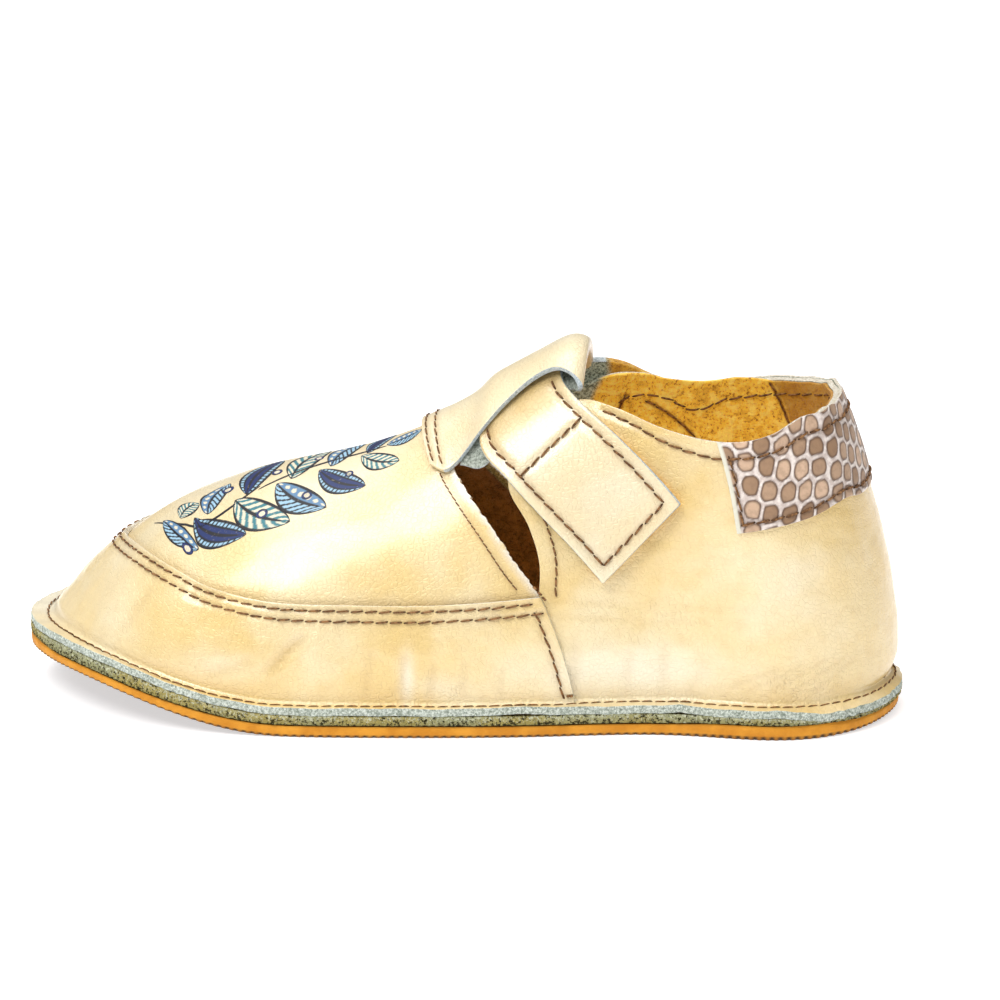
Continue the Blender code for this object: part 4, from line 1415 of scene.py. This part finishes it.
# %% Sole finishes
def split_leather():
    """Olive grey fibres with pale tips and dark pits."""
    f = Finish("grey split leather", Specular_IOR_Level=0.15, Roughness=0.97)
    fibre = f.noise(2400.0, 5.0, 0.75)
    drift = f.band(f.noise(60.0, 2.0), 0.4, 0.62)
    body = f.mix(drift, (0.60, 0.50, 0.17), (0.52, 0.53, 0.29))
    body = f.mix(f.fact("painted_shade_and_darkening") * 0.5, body, (0.36, 0.30, 0.09))
    tone = f.mix(f.band(fibre + 0.14 * f.fact("painted_shade_and_darkening"), 0.44, 0.56), (0.84, 0.85, 0.63), body)
    pits = f.band(f.noise(1700.0, 3.0, 0.7) + 0.08 * f.fact("painted_shade_and_darkening"), 0.55, 0.64)
    tone = f.mix(pits, tone, (0.05, 0.042, 0.016))
    f.feed(Base_Color=tone)
    f.bump(fibre, 0.0007)
    return f.material


def honey_rubber():
    """Orange honey rubber, a little mottled, and darker low down with painted shade, most between the teeth.
    """
    f = Finish("honey rubber", Specular_IOR_Level=0.35)
    mottle = f.noise(260.0, 4.0)
    fine = f.noise(1700.0, 3.0)
    tone = f.mix(f.band(mottle, 0.3, 0.7), (0.60, 0.23, 0.010), (0.76, 0.33, 0.025))
    tone = f.mix(f.fact("painted_shade_and_darkening"), tone, (0.07, 0.035, 0.010))
    f.feed(Base_Color=tone, Roughness=0.55 + 0.25 * fine)
    f.bump(mottle * 0.5 + fine * 0.5, 0.00018)
    return f.material


SPLIT = split_leather()
RUBBER = honey_rubber()


# %% [markdown]
# The side of a sole is a stack of rings round the outline, each with its inset, height and darkening. Flat
# faces across the foot close the stack above and below.


# %% Sole sheets
def edge_lines(count, inset):
    """Lateral and medial lines inside the foot of the wall, further in where the wall leans."""
    u = np.linspace(0, TOE, count)
    lines = []
    for place in (u, AROUND - u):
        values, out = outline(place)
        lean = 0.4 * np.clip(-values[:, 8:9], 0, None)
        lines.append(values[:, :2] - out * (inset + lean + values[:, 2:3]))
    return lines


def sole_ring(count, levels, fuzz, seed):
    """Sole with a detailed side: a ring of rows round the outline, with flat top and bottom grids.

    Each level holds the inset of the edge, the height over the sole's underside and how dark it is.
    """
    u = np.linspace(0, AROUND, count, endpoint=False)
    values, out = outline(u)
    plan, height, painted_shade_and_darkening = [], [], []
    for inset, z, dark in levels:
        plan.append(values[:, :2] - out * inset)
        height.append(np.full(count, z))
        painted_shade_and_darkening.append(np.full(count, dark))
    plan, height, painted_shade_and_darkening = np.array(plan), np.array(height), np.array(painted_shade_and_darkening)
    body = np.dstack([plan, spring(values[:, 0])[None] + height])
    shift = fuzz * (wavy(body, 0.9, seed) + 0.7 * wavy(body, 0.45, seed + 1))
    body[..., :2] += out * shift[..., None]
    return body, painted_shade_and_darkening


def ring_solid(name, body, painted_shade_and_darkening):
    """Closes a ring of rows: the rows join round, and each end is filled across by matching places."""
    rows, count = body.shape[:2]
    index = np.arange(rows * count).reshape(rows, count)
    index = np.hstack([index, index[:, :1]])
    quads = np.stack([index[:-1, :-1], index[:-1, 1:], index[1:, 1:], index[1:, :-1]], -1).reshape(-1, 4)
    points = body.reshape(-1, 3)
    half = count // 2
    caps = []
    for ring, flip in ((0, False), (rows - 1, True)):
        i = np.arange(half)
        a, b = ring * count + i, ring * count + i + 1
        c, d = ring * count + (count - i - 1), ring * count + (count - i) % count
        cap = np.stack([a, b, c, d], -1)
        caps.append(cap[:, ::-1] if flip else cap)
    faces = [list(dict.fromkeys(face)) for face in np.concatenate([caps[0], caps[1]]).tolist()]
    faces = quads.tolist() + [face for face in faces if len(face) > 2]
    return put(name, points, faces, None, {"painted_shade_and_darkening": painted_shade_and_darkening.ravel()})


# %% [markdown]
# The boundary between split leather and rubber is not level: the rubber is thinner beside the toe and thicker
# before the heel. Both sheets draw in a little under the back of the heel.

# %% Midsole
COUNT = 1200
TOE_THINNER, HEEL_THICKER = 0.4, 0.5
values, out = outline(np.linspace(0, AROUND, COUNT, endpoint=False))
along_x = values[:, 0]
toe_share = smooth(-along_x, 38.0, 58.0) * (1 - smooth(-along_x, 72.0, 80.0))
heel_share = smooth(along_x, 36.0, 50.0) * (1 - smooth(along_x, 66.0, 76.0))
thicker = HEEL_THICKER * heel_share - TOE_THINNER * toe_share
draw_in = smooth(along_x, 64.0, 78.0)
mid_levels = [(0.3, MIDSOLE + 0.1, 0.0)] + [(0.0, MIDSOLE * k / 6, 1 - k / 6) for k in range(6, -1, -1)]
mid_levels += [(0.3, -0.12, 1.0)]
body, painted_shade_and_darkening = sole_ring(COUNT, mid_levels, 0.2, 41)
down = np.linspace(0, 1, len(mid_levels))[:, None]
# A band of painted shade runs along the top, under the flange; lower down the midsole is darker towards the
# bottom.
painted_shade_and_darkening = painted_shade_and_darkening + np.exp(-((down / 0.14) ** 2)) * (0.6 + 0.4 * wavy(body, 4.0, 43))
body[..., 2] += OUTSOLE + GAP + down * thicker
body[..., 2] -= (1 - down) * droop(along_x)
body[..., :2] -= out * (0.4 * down * draw_in)[..., None]
midsole = ring_solid("midsole_split", body, painted_shade_and_darkening)
dress(midsole, "midsole", "grey_split_leather", SPLIT)

# %% [markdown]
# The tread is a set of fine ribs across the sole. Along the edge they show as teeth, so the lowest rows of
# the rubber's side move in and out with a saw wave along the outline.

# %% Rubber outsole
rub_levels = [(0.3, OUTSOLE, 0.0), (0.0, OUTSOLE - 0.2, 0.0), (-0.05, 1.5, 0.0), (0.0, 1.0, 0.0)]
rub_levels += [(0.0, 0.7, 0.0), (0.0, 0.48, 0.75), (0.06, 0.2, 1.0), (0.45, 0.0, 1.0)]
body, painted_shade_and_darkening = sole_ring(COUNT, rub_levels, 0.03, 51)
run = np.concatenate([[0], np.cumsum(np.linalg.norm(np.diff(values[:, :2], axis=0), axis=1))])
tooth = 0.5 + 0.5 * np.sin(2 * np.pi * run / 1.55 + 0.9 * np.sin(run / 7.0))
# The lowest rows get painted shade, darkest in the gaps between the teeth.
for level in (5, 6, 7):
    body[level, :, :2] -= out * (0.28 * tooth)[:, None]
    painted_shade_and_darkening[level] = painted_shade_and_darkening[level] * (0.5 + 0.7 * tooth)
up = np.linspace(1, 0, len(rub_levels))[:, None]
body[..., 2] += up * thicker
body[..., :2] -= out * (0.7 * draw_in)[:, None]
outsole = ring_solid("outsole_rubber", body, painted_shade_and_darkening)
dress(outsole, "outsole", "honey_rubber", RUBBER)

# %% [markdown]
# The insole is a soft suede bed, slightly hollowed under the heel and with a low arch on the medial side.

# %% Insole
lateral, medial = edge_lines(140, 2.1)
share = np.linspace(0, 1, 40)[:, None, None]
plan = lateral * (1 - share) + medial * share
low = ledge(plan[..., 0])
dip = -0.35 * np.exp(-(((plan[..., 0] - 50) / 16) ** 2) - (plan[..., 1] / 12) ** 2)
dip += 0.3 * np.exp(-(((plan[..., 0] - 15) / 18) ** 2) - ((plan[..., 1] - 16) / 6) ** 2)
top = np.dstack([plan, low + 1.6 + dip])
insole = sheet("insole_suede", top, np.dstack([plan, low]), rounding=0.4)
dress(insole, "insole", "ochre_suede", OCHRE, OCHRE, OCHRE)

# %% [markdown]
# ## Stitches
# The last rows lie on the flange and on the linings. The flange row follows the sole's outline, and the rows
# inside face into the shoe.

# %% Flange row and inside rows
u = np.linspace(0, AROUND, 2400)
values, out = outline(u)
on_wall = smooth(np.minimum(u, AROUND - u), 4.4, 4.9)
flat = values[:, 2] - FILLET - WALL_LIFT * on_wall
tip = np.exp(-(((u - TOE) / 0.7) ** 2))
inset = np.maximum(flat, 0.75) + 0.65 * tip
plan = values[:, :2] - out * inset[:, None]
sunk = droop(plan[:, 0]) * np.clip(1 - inset / flat, 0, 1)
height = ledge(plan[:, 0]) + FLANGE + flange_wave(u) * 0.6 + 0.02 + 0.22 * tip - sunk
ROWS["flange"] = (np.column_stack([plan, height]), np.tile([0.0, 0.0, 1.0], (len(u), 1)), 2.3, 0.15)

INSIDE = -1.78
for name, medial in (("lining lateral", False), ("lining medial", True)):
    u, t = collar_line(medial, 0.17, 1.0, 500)
    from_heel = np.minimum(u, AROUND - u)
    lower = 2.2 + 0.5 * smooth(from_heel, 1.2, 2.8) + 3.4 * smooth(from_heel, 3.25, 3.65)
    t = t - girth_step(u, t, lower)
    ROWS[name] = (skin(u, t, INSIDE), -normal(u, t), 2.8, 0.2)
for k, (u, t) in enumerate(LINING_LINES):
    ROWS[f"lining seam {k + 1}"] = (skin(u, t, INSIDE), -normal(u, t), 2.4, 0.17)
print(len(ROWS), "seam rows")


# %% [markdown]
# One stitch is a small bent pill that dives into the leather at both ends. All stitches of a row are computed
# in one go: a template of rings, placed along the row at its pitch. Then all rows become one mesh.


# %% Stitches from rows
def spaced(points, pitch):
    """Places along a line at an even pitch: the length of the line so far, read back at equal steps."""
    run = np.concatenate([[0], np.cumsum(np.linalg.norm(np.diff(points, axis=0), axis=1))])
    count = max(2, int(round(run[-1] / pitch)))
    return (np.arange(count) + 0.5) * run[-1] / count, run


RINGS, SIDES = 9, 8


def stitches(points, out, pitch, thick, rng):
    """Bent pills along a line: rings of a round section whose centre rises and dives along the stitch."""
    at, run = spaced(points, pitch)
    size = pitch * rng.uniform(0.88, 0.97, len(at))
    ring = np.linspace(-1, 1, RINGS)
    where = at[:, None] + size[:, None] * ring / 2
    centre = np.stack([np.interp(where, run, points[:, k]) for k in range(3)], -1)
    up = np.stack([np.interp(where, run, out[:, k]) for k in range(3)], -1)
    up /= np.linalg.norm(up, axis=-1, keepdims=True)
    along = np.gradient(centre, axis=1)
    along /= np.linalg.norm(along, axis=-1, keepdims=True)
    side = np.cross(up, along)
    slant = rng.uniform(0.06, 0.2, len(at)) * pitch / 2.8
    arch = thick * (1.25 * (1 - ring**4) - 0.85)
    centre = centre + up * arch[None, :, None] + side * (slant[:, None] * ring)[..., None]
    turn = np.linspace(0, 2 * np.pi, SIDES, endpoint=False)
    radius = thick * np.sqrt(np.clip(1 - 0.8 * ring**4, 0, 1))
    tube = side[:, :, None] * np.cos(turn)[:, None] + up[:, :, None] * np.sin(turn)[:, None]
    return (centre[:, :, None] + tube * radius[None, :, None, None]).reshape(len(at), -1, 3)


def pill_faces():
    """Faces of one pill: quads between rings and a face on each end."""
    grid = np.arange(RINGS * SIDES).reshape(RINGS, SIDES)
    near = np.roll(grid, -1, 1)
    quads = np.stack([grid[:-1], near[:-1], near[1:], grid[1:]], -1).reshape(-1, 4)
    return quads, [grid[0][::-1], grid[-1]]


rng = np.random.default_rng(7)
pills = np.concatenate([stitches(*values, rng) for values in ROWS.values()])
quads, ends = pill_faces()
starts = np.arange(len(pills))[:, None, None] * pills.shape[1]
faces = (starts + quads).reshape(-1, 4).tolist()
for cap in ends:
    faces += (starts[:, 0] + cap).tolist()
# Both ends of each stitch get painted shade, where the thread dives into the leather.
hole_shade = np.abs(np.linspace(-1, 1, RINGS))[:, None] ** 3
hole_shade = np.broadcast_to(hole_shade, (len(pills), RINGS, SIDES))
thread = put("seam_thread", pills.reshape(-1, 3), faces, None, {"hole_shade": hole_shade.ravel()})
dress(thread, "upper strap t_bar heel_patch", "cream_leather", THREAD)
print(len(pills), "stitches")

# %% [markdown]
# ## Studio
# The photograph is high in key: a white sweep, a large soft light from above and in front, and hardly
# any shadow.

# %% Floor and lights
floor_finish = Finish("white floor", Roughness=0.9, Specular_IOR_Level=0.1, Emission_Strength=0.6)
floor_finish.shader.inputs["Base Color"].default_value = (0.70, 0.695, 0.695, 1.0)
floor_finish.shader.inputs["Emission Color"].default_value = (1.0, 0.99, 1.0, 1.0)
corners = np.array([[-2000.0, -2000, 0], [2000, -2000, 0], [2000, 2000, 0], [-2000, 2000, 0]])
floor = put("floor", corners + MIDDLE, [[0, 1, 2, 3]])
floor.data.materials.append(floor_finish.material)

world = bpy.data.worlds.new("white room")
world.use_nodes = True
world.node_tree.nodes["Background"].inputs["Color"].default_value = (1.0, 0.99, 0.98, 1.0)
world.node_tree.nodes["Background"].inputs["Strength"].default_value = 0.34
bpy.context.scene.world = world


def lamp(name, place, aim, size, power, colour=(1.0, 1.0, 1.0)):
    """Square soft light at a place in metres, turned to its aim."""
    data = bpy.data.lights.new(name, "AREA")
    data.size, data.energy, data.color = size, power, colour
    made = bpy.data.objects.new(name, data)
    made.location = place
    made.rotation_euler = (Vector(aim) - Vector(place)).to_track_quat("-Z", "Y").to_euler()
    bpy.context.scene.collection.objects.link(made)
    return made


lamp("key", (-0.31, -0.49, 0.70), (0, 0, 0.03), 0.36, 3.4)
lamp("top box", (-0.1, 0.0, 0.95), (0, 0, 0.03), 0.8, 4.4)
sky_data = bpy.data.lights.new("sky", "SUN")
sky_data.energy, sky_data.angle = 0.9, np.radians(100)
sky = bpy.data.objects.new("sky", sky_data)
bpy.context.scene.collection.objects.link(sky)

# %% [markdown]
# The camera looks at the lateral side from a little above and a little behind the middle, with a long lens
# from a metre away. Two shifts put the shoe where it stands in the photograph.

# %% Camera
AIM, SHIFT_RIGHT, SHIFT_UP = np.array([0.0, 0.0, 30.0]), 6.16, 6.17
azimuth, elevation, distance = np.radians(6.0), np.radians(15.0), 1000.0
level = np.array([np.sin(azimuth), -np.cos(azimuth), 0.0])
back = np.cos(elevation) * level + np.array([0.0, 0.0, np.sin(elevation)])
right = np.array([np.cos(azimuth), np.sin(azimuth), 0.0])
up = np.cross(back, right)
place = AIM + SHIFT_RIGHT * right + SHIFT_UP * up + distance * back - MIDDLE
camera_data = bpy.data.cameras.new("camera")
camera_data.lens, camera_data.sensor_width = 198.7, 36.0
camera = bpy.data.objects.new("camera", camera_data)
turn = Matrix(np.column_stack([right, up, back]).tolist()).to_4x4()
camera.matrix_world = Matrix.Translation(Vector(place * MM)) @ turn
bpy.context.scene.collection.objects.link(camera)
bpy.context.scene.camera = camera
bpy.context.scene.view_settings.view_transform = "Standard"
